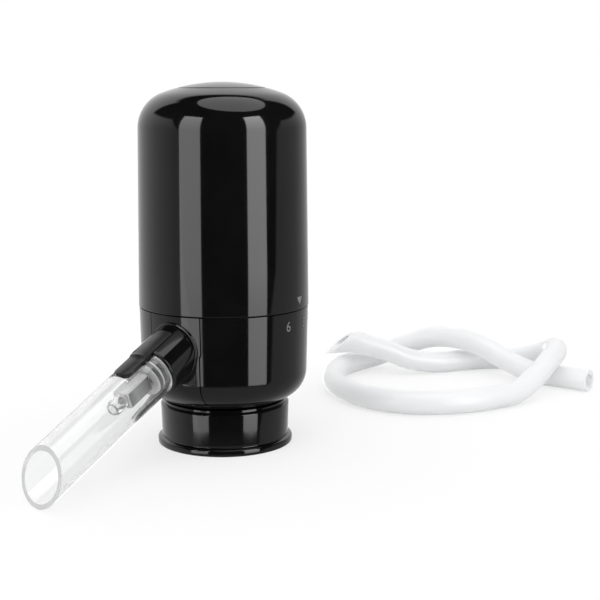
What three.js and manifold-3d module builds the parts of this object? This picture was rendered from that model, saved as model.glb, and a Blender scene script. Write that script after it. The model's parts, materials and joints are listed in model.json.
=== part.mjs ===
// Electric wine aerator: a battery air pump that seats on a bottle's neck, with a clear pouring
// spout and a loose suction hose that lies beside it in an overhand knot.
// Millimetres, +Z up, with the spout pointing towards -Y. The origin is in the plane of the neck
// rim, below the middle of the space that the body and its spout take up. All sizes and places
// below are measured from the body's axis, which runs through the rim's centre.
import * as THREE from "three";
import { mergeVertices } from "three/addons/utils/BufferGeometryUtils.js";
import Module from "manifold-3d";

const wasm = await Module();
wasm.setup();

// Fits shared by all pieces
const seat = 0.3; // clearance between pieces that rest on each other
const overrun = 5; // how far a cutting solid runs past what it cuts
const roundSides = 40; // facets of the casings
const innerSides = 28; // facets of the round pieces inside them
const tubeSides = 20; // facets of the spout and the small turned pieces
const rodSides = 10; // facets of screws, bores and shafts

// Casings
const seamZ = 49.5;
const coverSeamR = 30;
const coverTaper = 0.8;
const coverShoulderWallR = coverSeamR - coverTaper;
const coverTopZ = 127;
const coverShoulderRadius = 13;
const coverDomeRadius = 60;
const coverWall = 2;
const coverSeatDepth = 1.8;
const coverSeatHeight = 1.5;
const seamStep = 0.2;
const lowerTaper = 0.5;
const lowerSeamR = coverSeamR - seamStep;
const lowerWaistR = lowerSeamR - lowerTaper;
const lowerWaistZ = 26.5;
const lowerCornerRadius = 10.4;
const lowerWall = 2;
const lowerPortR = 7.9;
const ringLedgeDepth = 2.2;
const ringLedgeHeight = 1.5;

// Selector ring, which turns in the lower casing and carries the cover
const ringWall = 2.3;
const ringBelowSeam = 5;
const ringAboveSeam = 6.5;

// Button
const buttonR = 15.2;
const buttonHoleR = 15.5;
const buttonThickness = 2;
const buttonEdge = 0.35;
const buttonFlangeR = 17;
const buttonFlangeThickness = 1.2;
const buttonRimR = 14;
const buttonPostR = 2.6;

// Neck skirt, which slips over the bottle's neck
const skirtHeight = 15.8;
const skirtR = 22.85;
const skirtWaistR = 22.7;
const skirtBoreR = 19.8;
const skirtTopWall = 2;
const skirtNeckR = 21.8;
const skirtNeckHeight = 0.9;
const rimR = 24.05;
const rimHeight = 2.7;
const rimEdge = 0.5;
const rimGroove = 0.45;
const gasketR = 19.5;
const gasketBoreR = 15.6;
const gasketLip = 0.7;
const gasketLips = 3;
const gasketFootZ = 0.9;
const gasketFloor = 2;
const gasketPortR = 9.5;
const gasketSealR = 14.8;
const gasketSealRise = 0.6;

// Nipple for the suction hose, with the bore that lets air into the bottle
const nippleR = 2.8;
const nippleBoreR = 2;
const nippleTipZ = 5.5;
const barbR = 3.4;
const barbPitch = 1.7;
const barbs = 3;
const nippleFlangeR = 9.2;
const nippleFlangeThickness = 1.9;
const nippleShoulderR = 7.6;
const airBoreR = 0.9;
const airBoreY = 5.2;

// Frame that stands in the lower casing, with four posts
const postInset = 9.7; // of the posts' circle from the casings' outside
const postPlaceR = coverSeamR - postInset;
const postR = 2.2;
const frameFootReach = 2.5; // inwards from the posts' circle
const frameFootRim = 0.6; // outwards from it
const frameFootInnerR = postPlaceR - frameFootReach;
const frameFootOuterR = postPlaceR + frameFootRim;
const frameFootHeight = 2;
const frameTopRingHeight = 2;
const postCount = 4;
const postDeg = 45;
const postPilotR = 1.4;
const postPilotDepth = 8;

// Base manifold, which joins the nipple to the riser and the pump to the bottle
const manifoldR = frameFootInnerR - seat;
const manifoldHeight = 6;
const manifoldChannelLift = 3;
const riserInset = 5.5; // from the manifold's edge
const riserY = riserInset - manifoldR;
const riserR = 3.2;
const riserBoreR = 1.9;

// Pump and motor, side by side with the riser
const pumpShare = 0.4; // of the casings' radius
const pumpInset = 4;
const pumpWall = 1.5;
const pumpR = coverSeamR * pumpShare;
const pumpY = pumpR - pumpInset;
const pumpBoreR = pumpR - pumpWall;
const valvePlateThickness = 1;
const diaphragmThickness = 1.3;
const diaphragmInset = 0.4;
const diaphragmR = pumpR - diaphragmInset;
const diaphragmCupR = 3.4;
const diaphragmCupInset = 5.8; // of the cups' middles from the pump's outside
const diaphragmCupPlaceR = pumpR - diaphragmCupInset;
const diaphragmCupRise = 0.5;
const wobbleThickness = 1.3;
const wobbleHubR = 3;
const wobbleArmWidth = 4;
const wobbleArmRoom = 1.9; // from an arm's end to the bore
const wobbleArmReach = pumpBoreR - wobbleArmRoom;
const pumpChambers = 3;
const pumpHousingHeight = 6.6;
const pumpTopWall = 1.5;
const eccentricR = 3.5;
const eccentricOffset = 0.8;
const eccentricHeight = 2;
const shaftR = 1;
const shaftBoreR = 1.5;
const shaftInMotor = 8;
const motorShare = 1 / 3; // of the casings' radius
const motorR = coverSeamR * motorShare;
const motorLength = 24;
const motorCapInset = 0.6;
const motorCapR = motorR - motorCapInset;
const motorCapHeight = 2.2;

// Battery tray, four size AA cells and what lies on top of them
const deckInset = 5.5; // from the casings' outside, which leaves room for the selector ring
const deckR = coverSeamR - deckInset;
const deckThickness = 2;
const cellR = 7.25;
const cellLength = 50.5;
const cellNubR = 2.75;
const cellNubHeight = 1;
const cellPlace = 11.2; // from the axis, with the first cell at cellDeg
const cellDeg = 0;
const cellCount = 4;
const cellBoreR = 7.55;
const trayCoreR = 17.5;
const contactR = 5.5;
const contactThickness = 0.6;
const bridgeWidth = 9;
const bridgeLength = 24;
const bridgeThickness = 0.6;
const trayCapR = 17.5;
const trayCapThickness = 1;
const boardR = 15.5;
const boardThickness = 1.2;
const boardFlat = 13;
const switchWidth = 6.2;
const switchHeight = 2.3;
const switchFloor = 0.5;
const plungerR = 1.2;
const plungerBoreR = 1.6;
const plungerLength = 2;
const plungerInBody = 0.4;
const screwHeadR = 2.3;
const screwHeadHeight = 1.4;
const screwR = 1.1;
const screwLength = 7.5;

// Spout, along an axis that slopes down and out of the front of the lower casing
const spoutSlope = THREE.MathUtils.degToRad(23);
const spoutRootZ = 37;
const bossR = 9.6;
const bossRise = 0.8;
const collarEdge = 0.6;
const bossBoreR = 8.5;
const panelHalfWidth = 10.4;
const panelFootHalfWidth = 9.95;
const panelStepZ = 36.8;
const panelStepHeight = 0.9;
const panelFootZ = 18.4;
const collarR = 9.2;
const collarPlugR = 8.2;
const collarBoreR = 7.2;
const collarPlugDepth = 4;
const collarLength = 12;
const latchHalfAngle = THREE.MathUtils.degToRad(21);
const latchStart = 0.5;
const latchReach = 14;
const latchStep = 3.4;
const latchStepDrop = 0.5;
const latchThickness = 1.9;
const latchCorner = 2;
const spoutRootR = 8.45;
const spoutTipR = 8.05;
const spoutWall = 1.5;
const spoutAxisLength = 69;
const spoutLipAngle = THREE.MathUtils.degToRad(33);
const spoutNotchLength = 15;
const spigotR = 6.2;
const spigotBoreR = 3.4;
const spigotStart = 2;
const spigotFlangeR = 6.9;
const spigotFlangeLength = 3;
const spigotPastCollar = 5;
const oRingRadius = 0.62;
const oRingGrooveDepth = 1.2;
const oRingGrooveWidth = 1.9;
const oRingSpacing = 2.5;
const oRingFirst = 1.1;
const nozzleWidth = 7;
const nozzleHeight = 5;
const nozzleLength = 11.5;
const nozzleBoreR = 1.7;
const nozzleTipR = 2.6;
const nozzleTipLength = 5;
const nozzleTipEdge = 0.7;

// Suction hose, laid beside the body
const hoseR = 4.5;
const hoseSides = 8;
const hoseSteps = 88;
const hoseLift = 4.6; // centre line above the surface
const hoseAt = [95, 66]; // middle of the knot, to the right of the body and behind it
const hoseTurn = THREE.MathUtils.degToRad(38); // the knot's own X axis, measured from +X
// Centre line: place in the knot's own plane, then the lift where it passes over itself
const hoseRoute = [
  [-48.4, 28.4, 10.2],
  [-36.3, 28.8, 10.2],
  [-23.2, 29.4, 7],
  [-11.3, 30.4, 2.2],
  [1.6, 32.6, 0],
  [13.4, 35.6, 0],
  [25.3, 37.6, 0],
  [37.8, 34.5, 0.7],
  [45.9, 25.8, 4.7],
  [48.5, 13.2, 9.4],
  [45.8, 1.4, 10.3],
  [39.9, -9, 8.8],
  [31.2, -18.8, 4],
  [21.9, -26.4, 0.3],
  [10.7, -33.1, 0],
  [-0.6, -37.6, 0],
  [-12.5, -39.2, 0],
  [-25.2, -37, 0],
  [-35.2, -30.4, 0],
  [-42.3, -20.6, 0],
  [-46.6, -8.4, 0],
  [-47.6, 3.6, 0],
  [-45.8, 16.6, 0],
  [-41.5, 27.8, 0],
  [-34.2, 37.4, 0],
  [-23.2, 44, 1.1],
  [-11.2, 44.7, 5.5],
  [1, 40.3, 9.8],
  [11, 33.4, 10.3],
  [20, 25.4, 8.4],
  [29.8, 16.7, 3.2],
  [38.8, 8.7, 0.1],
  [48.5, 0.1, 0],
  [57.7, -7.9, 0],
];

// Heights that follow from the sizes above
const gapHalf = seat / 2;
const lowerTopZ = seamZ - gapHalf;
const coverFootZ = seamZ + gapHalf;
const casingFootZ = lowerWaistZ - lowerCornerRadius;
const casingFloorZ = casingFootZ + lowerWall;
const manifoldZ = casingFloorZ + seat;
const manifoldTopZ = manifoldZ + manifoldHeight;
const channelZ = manifoldZ + manifoldChannelLift;
const valvePlateZ = manifoldTopZ + seat;
const diaphragmZ = valvePlateZ + valvePlateThickness + seat;
const wobbleZ = diaphragmZ + diaphragmThickness + diaphragmCupRise + seat;
const pumpHousingZ = diaphragmZ + diaphragmThickness + seat;
const pumpHousingTopZ = pumpHousingZ + pumpHousingHeight;
const eccentricZ = wobbleZ + wobbleThickness + seat;
const motorZ = pumpHousingTopZ + seat;
const motorTopZ = motorZ + motorLength;
const frameTopZ = motorTopZ + seat + motorCapHeight + seat;
const frameFootZ = casingFloorZ + seat;
const deckZ = frameTopZ + seat;
const deckTopZ = deckZ + deckThickness;
const contactZ = deckTopZ + seat;
const cellZ = contactZ + contactThickness + seat;
const cellTopZ = cellZ + cellLength;
const bridgeZ = cellTopZ + seat;
const trayCapZ = bridgeZ + bridgeThickness + seat;
const boardZ = trayCapZ + trayCapThickness + seat;
const switchZ = boardZ + boardThickness + seat;
const switchTopZ = switchZ + switchHeight;
const plungerZ = switchTopZ - plungerInBody;
const buttonPostZ = plungerZ + plungerLength + seat;

// The dome's centre is where an arc of the dome's radius is tangent to the shoulder
const shoulderR = coverShoulderWallR - coverShoulderRadius;
const domeZ = coverTopZ - coverDomeRadius;
const domeToShoulder = coverDomeRadius - coverShoulderRadius;
const shoulderZ = domeZ + Math.sqrt(domeToShoulder ** 2 - shoulderR ** 2);
const domeHeightAt = (r, depth) => domeZ + Math.sqrt((coverDomeRadius - depth) ** 2 - r ** 2);

const spoutRootY = -(lowerWaistR + (lowerSeamR - lowerWaistR) / 2);
const collarEnd = collarLength;
const spoutStart = collarEnd + seat;
const spigotEnd = collarEnd + spigotPastCollar;
const nozzleStart = spigotEnd + seat;
const nozzleTipStart = nozzleStart + nozzleLength + seat;

// Colours and finishes
const finish = (color, roughness, metalness = 0, extra = {}) =>
  new THREE.MeshStandardMaterial({ color, roughness, metalness, ...extra });
const glossBlack = finish(0x0b0b0c, 0.12);
const clearPlastic = finish(0xeef1f2, 0.04, 0, { transparent: true, opacity: 0.35 });
const innerBlack = finish(0x1a1a1b, 0.6);
const innerWhite = finish(0xd9d9d4, 0.5);
const sealRubber = finish(0x161616, 0.85);
const silicone = finish(0xdfe0e2, 0.45);
const steel = finish(0xb9bcc0, 0.35, 0.9);
const boardGreen = finish(0x1d5a38, 0.5);
const cellJacket = finish(0x33363a, 0.4, 0.2);

const root = new THREE.Group();
const spoutGroup = new THREE.Group();
spoutGroup.position.set(0, spoutRootY, spoutRootZ);
spoutGroup.rotation.x = Math.PI / 2 + spoutSlope; // its own Z runs out along the spout, its Y up
spoutGroup.updateMatrix();
root.add(spoutGroup);

// A closed geometry as a manifold solid, without the faces that shrink to a line on an axis
function solid(geometry) {
  const bare = geometry.clone();
  for (const name of Object.keys(bare.attributes)) if (name !== "position") bare.deleteAttribute(name);
  const merged = mergeVertices(bare, 1e-4);
  const triVerts = [];
  for (let i = 0; i < merged.index.count; i += 3) {
    const [a, b, c] = [0, 1, 2].map((k) => merged.index.getX(i + k));
    if (a !== b && b !== c && c !== a) triVerts.push(a, b, c);
  }
  return new wasm.Manifold(
    new wasm.Mesh({
      numProp: 3,
      vertProperties: new Float32Array(merged.attributes.position.array),
      triVerts: new Uint32Array(triVerts),
    }),
  );
}

// A manifold solid as a three.js geometry
function geometryOf(body) {
  const mesh = body.getMesh();
  const position = new Float32Array(mesh.numVert * 3);
  for (let i = 0; i < mesh.numVert; i++) {
    position.set(mesh.vertProperties.subarray(i * mesh.numProp, i * mesh.numProp + 3), i * 3);
  }
  const geometry = new THREE.BufferGeometry();
  geometry.setAttribute("position", new THREE.BufferAttribute(position, 3));
  geometry.setIndex(new THREE.BufferAttribute(new Uint32Array(mesh.triVerts), 1));
  geometry.computeVertexNormals();
  return geometry;
}

function addPiece(name, body, material, parent = root) {
  const mesh = new THREE.Mesh(geometryOf(body), material);
  mesh.name = name;
  parent.add(mesh);
  return mesh;
}

// Points of an arc in the plane of a profile, from one angle to another in degrees
function arc(centreR, centreZ, radius, fromDeg, toDeg, steps) {
  return Array.from({ length: steps + 1 }, (_, i) => {
    const angle = THREE.MathUtils.degToRad(fromDeg + ((toDeg - fromDeg) * i) / steps);
    return [centreR + radius * Math.cos(angle), centreZ + radius * Math.sin(angle)];
  });
}

// A turned solid from its profile, given as [radius, height]. A profile that leaves the axis is a ring.
function turned(profile, sides) {
  const points = profile.map(([r, z]) => new THREE.Vector2(r, z));
  if (THREE.ShapeUtils.area(points) < 0) points.reverse();
  const onAxis = points.filter((p) => p.x === 0).length === 2;
  if (!onAxis) points.push(points[0].clone());
  else while (points[0].x !== 0 || points[points.length - 1].x !== 0) points.push(points.shift());
  return solid(new THREE.LatheGeometry(points, sides).rotateX(Math.PI / 2));
}

const drum = (radius, low, high, sides = rodSides) =>
  turned([[0, low], [radius, low], [radius, high], [0, high]], sides);

const tube = (radius, bore, low, high, sides = tubeSides) =>
  turned([[bore, low], [radius, low], [radius, high], [bore, high]], sides);

function block(width, depth, height, x, y, z) {
  return solid(new THREE.BoxGeometry(width, depth, height).translate(x, y, z));
}

// A prism whose outline lies in a plane and is pushed along that plane's normal
function prism(outline, depth, place = (geometry) => geometry) {
  const shape = new THREE.Shape(outline.map(([x, y]) => new THREE.Vector2(x, y)));
  return solid(place(new THREE.ExtrudeGeometry(shape, { depth, bevelEnabled: false })));
}

const moved = (body, x, y, z) => body.translate([x, y, z]);
const inSpoutFrame = (body) => body.transform(spoutGroup.matrix.elements);
const fromSpoutFrame = (body) => body.transform(spoutGroup.matrix.clone().invert().elements);
const cut = (body, ...tools) => tools.reduce((rest, tool) => rest.subtract(tool), body);
const joined = (...bodies) => bodies.reduce((whole, body) => whole.add(body));
const around = (count, radius, startDeg, make) =>
  Array.from({ length: count }, (_, i) => {
    const angle = THREE.MathUtils.degToRad(startDeg + (360 * i) / count);
    return make(radius * Math.cos(angle), radius * Math.sin(angle), angle, i);
  });

// Upper casing: a tall cup, upside down, with a round hole in its dome for the button and a
// seat inside that rests on the selector ring
function upperCasing() {
  const tangentDeg = THREE.MathUtils.radToDeg(Math.atan2(shoulderZ - domeZ, shoulderR));
  const holeDeg = THREE.MathUtils.radToDeg(Math.acos(buttonHoleR / coverDomeRadius));
  const innerHoleDeg = THREE.MathUtils.radToDeg(
    Math.acos(buttonHoleR / (coverDomeRadius - coverWall)),
  );
  const seatZ = seamZ + ringAboveSeam + seat;
  const innerFootR = coverSeamR - coverWall;
  return turned(
    [
      [coverSeamR, coverFootZ],
      ...arc(shoulderR, shoulderZ, coverShoulderRadius, 0, tangentDeg, 8),
      ...arc(0, domeZ, coverDomeRadius, tangentDeg, holeDeg, 2).slice(1),
      ...arc(0, domeZ, coverDomeRadius - coverWall, innerHoleDeg, tangentDeg, 2),
      ...arc(shoulderR, shoulderZ, coverShoulderRadius - coverWall, tangentDeg, 0, 4).slice(1),
      [innerFootR, seatZ + coverSeatHeight + coverSeatDepth],
      [innerFootR - coverSeatDepth, seatZ + coverSeatHeight],
      [innerFootR - coverSeatDepth, seatZ],
      [innerFootR, seatZ],
      [innerFootR, coverFootZ],
    ],
    roundSides,
  );
}

// Button: its top carries the dome on across the hole, and its flange stays under the casing
function powerButton() {
  const edgeZ = domeHeightAt(buttonR, 0);
  const flangeZ = domeHeightAt(buttonFlangeR, coverWall) - seat;
  const edgeDeg = THREE.MathUtils.radToDeg(Math.acos((buttonR - buttonEdge) / coverDomeRadius));
  const underZ = coverTopZ - buttonThickness;
  return turned(
    [
      [0, coverTopZ],
      ...arc(0, domeZ, coverDomeRadius, 90, edgeDeg, 4).slice(1),
      [buttonR, edgeZ - buttonEdge],
      [buttonR, flangeZ],
      [buttonFlangeR, flangeZ],
      [buttonFlangeR, flangeZ - buttonFlangeThickness],
      [buttonRimR, flangeZ - buttonFlangeThickness],
      [buttonRimR, edgeZ - buttonThickness],
      [buttonPostR, underZ],
      [buttonPostR, buttonPostZ],
      [0, buttonPostZ],
    ],
    roundSides,
  );
}

const selectorRing = () => {
  const outerR = lowerSeamR - lowerWall - seat;
  return tube(outerR, outerR - ringWall, seamZ - ringBelowSeam, seamZ + ringAboveSeam, innerSides);
};

// Wall of the lower casing all the way round, before the front panel is parted from it
function lowerShell() {
  const cornerR = lowerWaistR - lowerCornerRadius;
  const ledgeZ = seamZ - ringBelowSeam - seat;
  const innerSeamR = lowerSeamR - lowerWall;
  return turned(
    [
      [lowerSeamR, lowerTopZ],
      [innerSeamR, lowerTopZ],
      [innerSeamR, ledgeZ],
      [innerSeamR - ringLedgeDepth, ledgeZ],
      [innerSeamR - ringLedgeDepth, ledgeZ - ringLedgeHeight],
      [innerSeamR, ledgeZ - ringLedgeHeight - ringLedgeDepth],
      ...arc(cornerR, lowerWaistZ, lowerCornerRadius - lowerWall, 0, -90, 6),
      [lowerPortR, casingFloorZ],
      [lowerPortR, casingFootZ],
      ...arc(cornerR, lowerWaistZ, lowerCornerRadius, -90, 0, 7),
    ],
    roundSides,
  );
}

// Outline of the front panel seen from the front, drawn in or out by a clearance
function panelPrism(grow) {
  const top = seamZ + overrun;
  const half = panelHalfWidth + grow;
  const footHalf = panelFootHalfWidth + grow;
  const outline = [
    [-half, top],
    [-half, panelStepZ - grow],
    [-footHalf, panelStepZ - panelStepHeight - grow],
    [-footHalf, panelFootZ - grow],
    [footHalf, panelFootZ - grow],
    [footHalf, panelStepZ - panelStepHeight - grow],
    [half, panelStepZ - grow],
    [half, top],
  ];
  // The outline's own X and Y become X and Z, and it is pushed out towards -Y from the axis
  return prism(outline, lowerSeamR + overrun, (geometry) => geometry.rotateX(Math.PI / 2));
}

// A drum on the body's axis that reaches a given distance out of the lower casing's wall
const bodyDrum = (proud) => drum(lowerSeamR + proud, casingFootZ, seamZ + overrun, roundSides);

// Front panel: the part of the shell below the spout, with a low ring round the spout's bore
function frontPanel(shell) {
  const reach = lowerSeamR / 2;
  const boss = inSpoutFrame(drum(bossR, -reach, reach, tubeSides));
  const ring = cut(boss.intersect(bodyDrum(bossRise)), bodyDrum(-lowerWall));
  const bore = inSpoutFrame(drum(bossBoreR, -reach - overrun, reach + overrun, tubeSides));
  return cut(joined(shell.intersect(panelPrism(-gapHalf)), ring), bore);
}

// A wedge along the spout's top, between two distances from its root
function topWedge(halfAngle, radius, low, high) {
  const corner = [radius * Math.tan(halfAngle), radius];
  return prism([[0, 0], corner, [-corner[0], corner[1]]], high - low, (geometry) =>
    geometry.translate(0, 0, low),
  );
}

// Collar: a plug inside the front panel's boss and a wider sleeve outside it, with a slot on top
function spoutCollar() {
  const low = -collarPlugDepth;
  const sleeve = turned(
    [
      [0, low],
      [collarR, low],
      [collarR, collarEnd - collarEdge],
      [collarR - collarEdge, collarEnd],
      [0, collarEnd],
    ],
    tubeSides,
  );
  const body = joined(
    cut(sleeve, fromSpoutFrame(bodyDrum(bossRise + seat))),
    drum(collarPlugR, low, collarEnd - collarEdge, tubeSides),
  );
  const slotAngle = latchHalfAngle + seat / collarBoreR;
  const slot = topWedge(slotAngle, collarR + overrun, latchStart - seat, collarEnd + overrun);
  return cut(body, drum(collarBoreR, low - overrun, collarEnd + overrun, tubeSides), slot);
}

// Latch: a tongue along the collar's top that reaches on over the notch in the clear spout
function spoutLatch() {
  const innerR = spoutRootR - spoutWall + gapHalf;
  const end = collarEnd + latchReach;
  const step = collarEnd + latchStep;
  const outerR = innerR + latchThickness;
  const body = turned(
    [
      [innerR, latchStart],
      [collarR, latchStart],
      [collarR, step],
      [outerR + latchStepDrop, step],
      [outerR, step + latchStepDrop],
      [outerR, end],
      [innerR, end],
    ],
    tubeSides * 2,
  );
  const halfWidth = innerR * Math.sin(latchHalfAngle);
  const tongue = body.intersect(topWedge(latchHalfAngle, collarR + overrun, 0, end + overrun));
  // Seen from above, the free end's corners are round
  const corner = halfWidth - latchCorner;
  const outline = [
    [-halfWidth * 2, 0],
    [halfWidth * 2, 0],
    [halfWidth * 2, collarEnd],
    [halfWidth, collarEnd],
    ...arc(corner, end - latchCorner, latchCorner, 0, 90, 4),
    ...arc(-corner, end - latchCorner, latchCorner, 90, 180, 4),
    [-halfWidth, collarEnd],
    [-halfWidth * 2, collarEnd],
  ];
  const plan = prism(outline, collarR + overrun, (geometry) =>
    geometry.rotateX(Math.PI / 2).translate(0, collarR + overrun, 0),
  );
  return cut(tongue.intersect(plan), fromSpoutFrame(bodyDrum(bossRise + seat)));
}

function spoutSpigot() {
  const grooves = [0, 1].flatMap((i) => {
    const middle = collarEnd + oRingFirst + i * oRingSpacing;
    const low = middle - oRingGrooveWidth / 2;
    const high = middle + oRingGrooveWidth / 2;
    const bottom = spigotR - oRingGrooveDepth;
    return [[spigotR, low], [bottom, low], [bottom, high], [spigotR, high]];
  });
  return turned(
    [
      [spigotBoreR, spigotStart],
      [spigotFlangeR, spigotStart],
      [spigotFlangeR, spigotStart + spigotFlangeLength],
      [spigotR, spigotStart + spigotFlangeLength],
      ...grooves,
      [spigotR, spigotEnd],
      [spigotBoreR, spigotEnd],
    ],
    tubeSides,
  );
}

function oRing(index) {
  const middle = collarEnd + oRingFirst + index * oRingSpacing;
  const centreR = spigotR - oRingGrooveDepth + seat + oRingRadius;
  return turned(arc(centreR, middle, oRingRadius, 0, 360, 6).slice(1), tubeSides);
}

// Nozzle that the wine leaves: a flat rectangular block, then a round tip
function aeratorNozzle() {
  const bevel = nozzleTipEdge;
  const [halfW, halfH] = [nozzleWidth / 2, nozzleHeight / 2];
  const outline = [
    [halfW - bevel, -halfH],
    [halfW, bevel - halfH],
    [halfW, halfH - bevel],
    [halfW - bevel, halfH],
    [bevel - halfW, halfH],
    [-halfW, halfH - bevel],
    [-halfW, bevel - halfH],
    [bevel - halfW, -halfH],
  ];
  const body = prism(outline, nozzleLength, (geometry) => geometry.translate(0, 0, nozzleStart));
  return cut(body, drum(nozzleBoreR, nozzleStart - overrun, nozzleTipStart + overrun));
}

const nozzleTip = () => {
  const end = nozzleTipStart + nozzleTipLength;
  return turned(
    [
      [nozzleBoreR, nozzleTipStart],
      [nozzleTipR, nozzleTipStart],
      [nozzleTipR, end - nozzleTipEdge],
      [nozzleTipR - nozzleTipEdge / 2, end],
      [nozzleBoreR, end],
    ],
    rodSides,
  );
};

// Clear spout: a tapered tube with a slanted lip, longer at the bottom, and a notch for the latch
function clearSpout() {
  const lipRun = spoutTipR * Math.tan(spoutLipAngle);
  const end = spoutAxisLength + lipRun + overrun;
  const body = turned(
    [
      [spoutRootR - spoutWall, spoutStart],
      [spoutRootR, spoutStart],
      [spoutTipR, end],
      [spoutTipR - spoutWall, end],
    ],
    tubeSides * 2,
  );
  const size = spoutRootR * 6;
  const lip = solid(
    new THREE.BoxGeometry(size, size, size)
      .translate(0, 0, size / 2)
      .rotateX(-spoutLipAngle)
      .translate(0, 0, spoutAxisLength),
  );
  const notchEnd = collarEnd + spoutNotchLength;
  const notchAngle = latchHalfAngle + (2 * seat) / spoutRootR;
  const notch = topWedge(notchAngle, spoutRootR + overrun, spoutStart - overrun, notchEnd);
  return cut(body, lip, notch);
}

// Elbow: a riser beside the pump, then a pipe along the spout's axis
function outletElbow() {
  const bendAlong = (riserY - spoutRootY) / Math.cos(spoutSlope);
  const bendZ = spoutRootZ + (riserY - spoutRootY) * Math.tan(spoutSlope);
  const riser = (r, low) => moved(drum(r, low, bendZ, tubeSides), 0, riserY, 0);
  const pipe = (r, end) => inSpoutFrame(drum(r, -bendAlong, end, tubeSides));
  const knee = (r) =>
    solid(new THREE.SphereGeometry(r, tubeSides, rodSides).translate(0, riserY, bendZ));
  const outer = joined(riser(riserR, manifoldTopZ + seat), pipe(riserR, spigotStart - seat), knee(riserR));
  const bore = joined(
    riser(riserBoreR, manifoldTopZ - overrun),
    pipe(riserBoreR, spigotStart + overrun),
    knee(riserBoreR),
  );
  return cut(outer, bore);
}

function neckSkirt() {
  const innerTopZ = skirtHeight - skirtTopWall;
  return turned(
    [
      [skirtBoreR, 0],
      [rimR - rimEdge, 0],
      [rimR, rimEdge],
      [rimR, rimHeight - rimEdge],
      [rimR - rimEdge, rimHeight],
      [skirtR - rimGroove, rimHeight + rimGroove / 2],
      [skirtR, rimHeight + rimGroove * 2],
      [skirtWaistR, skirtHeight / 2],
      [skirtR, skirtHeight - skirtNeckHeight - rimEdge],
      [skirtR - rimEdge, skirtHeight - skirtNeckHeight],
      [skirtNeckR, skirtHeight - skirtNeckHeight],
      [skirtNeckR, skirtHeight],
      [lowerPortR, skirtHeight],
      [lowerPortR, innerTopZ],
      [skirtBoreR, innerTopZ],
    ],
    roundSides,
  );
}

// Rubber seal in the skirt: lips that grip the neck and a floor that lies on the bottle's mouth
function neckGasket() {
  const floorZ = skirtHeight - skirtTopWall - seat - gasketFloor;
  const pitch = (floorZ - gasketFootZ) / gasketLips;
  const lips = Array.from({ length: gasketLips }, (_, i) => {
    const low = gasketFootZ + i * pitch;
    return [
      [gasketBoreR + gasketLip, low],
      [gasketBoreR, low + pitch / 2],
    ];
  }).flat();
  return turned(
    [
      [gasketR, gasketFootZ],
      ...lips,
      [gasketBoreR + gasketLip, floorZ],
      [gasketSealR, floorZ],
      [gasketSealR, floorZ - gasketSealRise],
      [gasketPortR, floorZ - gasketSealRise],
      [gasketPortR, floorZ + gasketFloor],
      [gasketR, floorZ + gasketFloor],
    ],
    innerSides,
  );
}

function hoseNipple() {
  const flangeTopZ = skirtHeight - skirtTopWall - seat;
  const barbProfile = Array.from({ length: barbs }, (_, i) => {
    const low = nippleTipZ + i * barbPitch;
    return [
      [nippleR, low],
      [barbR, low + barbPitch - seat],
    ];
  }).flat();
  const body = turned(
    [
      [nippleBoreR, nippleTipZ],
      ...barbProfile,
      [nippleR, nippleTipZ + barbs * barbPitch],
      [nippleR, flangeTopZ - nippleFlangeThickness],
      [nippleFlangeR, flangeTopZ - nippleFlangeThickness],
      [nippleFlangeR, flangeTopZ],
      [nippleShoulderR, flangeTopZ],
      [nippleShoulderR, casingFloorZ],
      [nippleBoreR, casingFloorZ],
    ],
    tubeSides,
  );
  return cut(body, moved(drum(airBoreR, 0, casingFloorZ + overrun), 0, airBoreY, 0));
}

// Manifold: wine comes up in the middle and leaves at the riser, air comes down from the pump
function baseManifold() {
  const channel = (r, fromY, toY) =>
    moved(drum(r, 0, toY - fromY).rotate([-90, 0, 0]), 0, fromY, channelZ);
  const low = (r, y) => moved(drum(r, manifoldZ - overrun, channelZ), 0, y, 0);
  const high = (r, y) => moved(drum(r, channelZ, manifoldTopZ + overrun), 0, y, 0);
  return cut(
    drum(manifoldR, manifoldZ, manifoldTopZ, innerSides),
    joined(low(riserBoreR, 0), channel(riserBoreR, riserY, 0), high(riserBoreR, riserY)),
    joined(low(airBoreR, airBoreY), channel(airBoreR, airBoreY, pumpY), high(airBoreR, pumpY)),
  );
}

// Pump: a valve plate, a rubber diaphragm with three cups, the arm that works them and a housing
function pumpPieces() {
  const plate = cut(
    drum(pumpR, valvePlateZ, valvePlateZ + valvePlateThickness, tubeSides),
    drum(airBoreR, valvePlateZ - overrun, valvePlateZ + overrun),
  );
  const sheet = drum(diaphragmR, diaphragmZ, diaphragmZ + diaphragmThickness, tubeSides);
  const cups = around(pumpChambers, diaphragmCupPlaceR, 90, (x, y) =>
    moved(drum(diaphragmCupR, diaphragmZ, wobbleZ - seat), x, y, 0),
  );
  const arms = around(pumpChambers, 0, 90, (x, y, angle) =>
    block(
      wobbleArmReach,
      wobbleArmWidth,
      wobbleThickness,
      wobbleArmReach / 2,
      0,
      wobbleZ + wobbleThickness / 2,
    ).rotate([0, 0, THREE.MathUtils.radToDeg(angle)]),
  );
  const housing = turned(
    [
      [pumpBoreR, pumpHousingZ],
      [pumpR, pumpHousingZ],
      [pumpR, pumpHousingTopZ],
      [shaftBoreR, pumpHousingTopZ],
      [shaftBoreR, pumpHousingTopZ - pumpTopWall],
      [pumpBoreR, pumpHousingTopZ - pumpTopWall],
    ],
    tubeSides,
  );
  return {
    pump_valve_plate: [plate, innerWhite],
    pump_diaphragm: [joined(sheet, ...cups), sealRubber],
    wobble_arm: [
      joined(drum(wobbleHubR, wobbleZ, wobbleZ + wobbleThickness, tubeSides), ...arms),
      innerWhite,
    ],
    pump_housing: [housing, innerWhite],
  };
}

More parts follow.
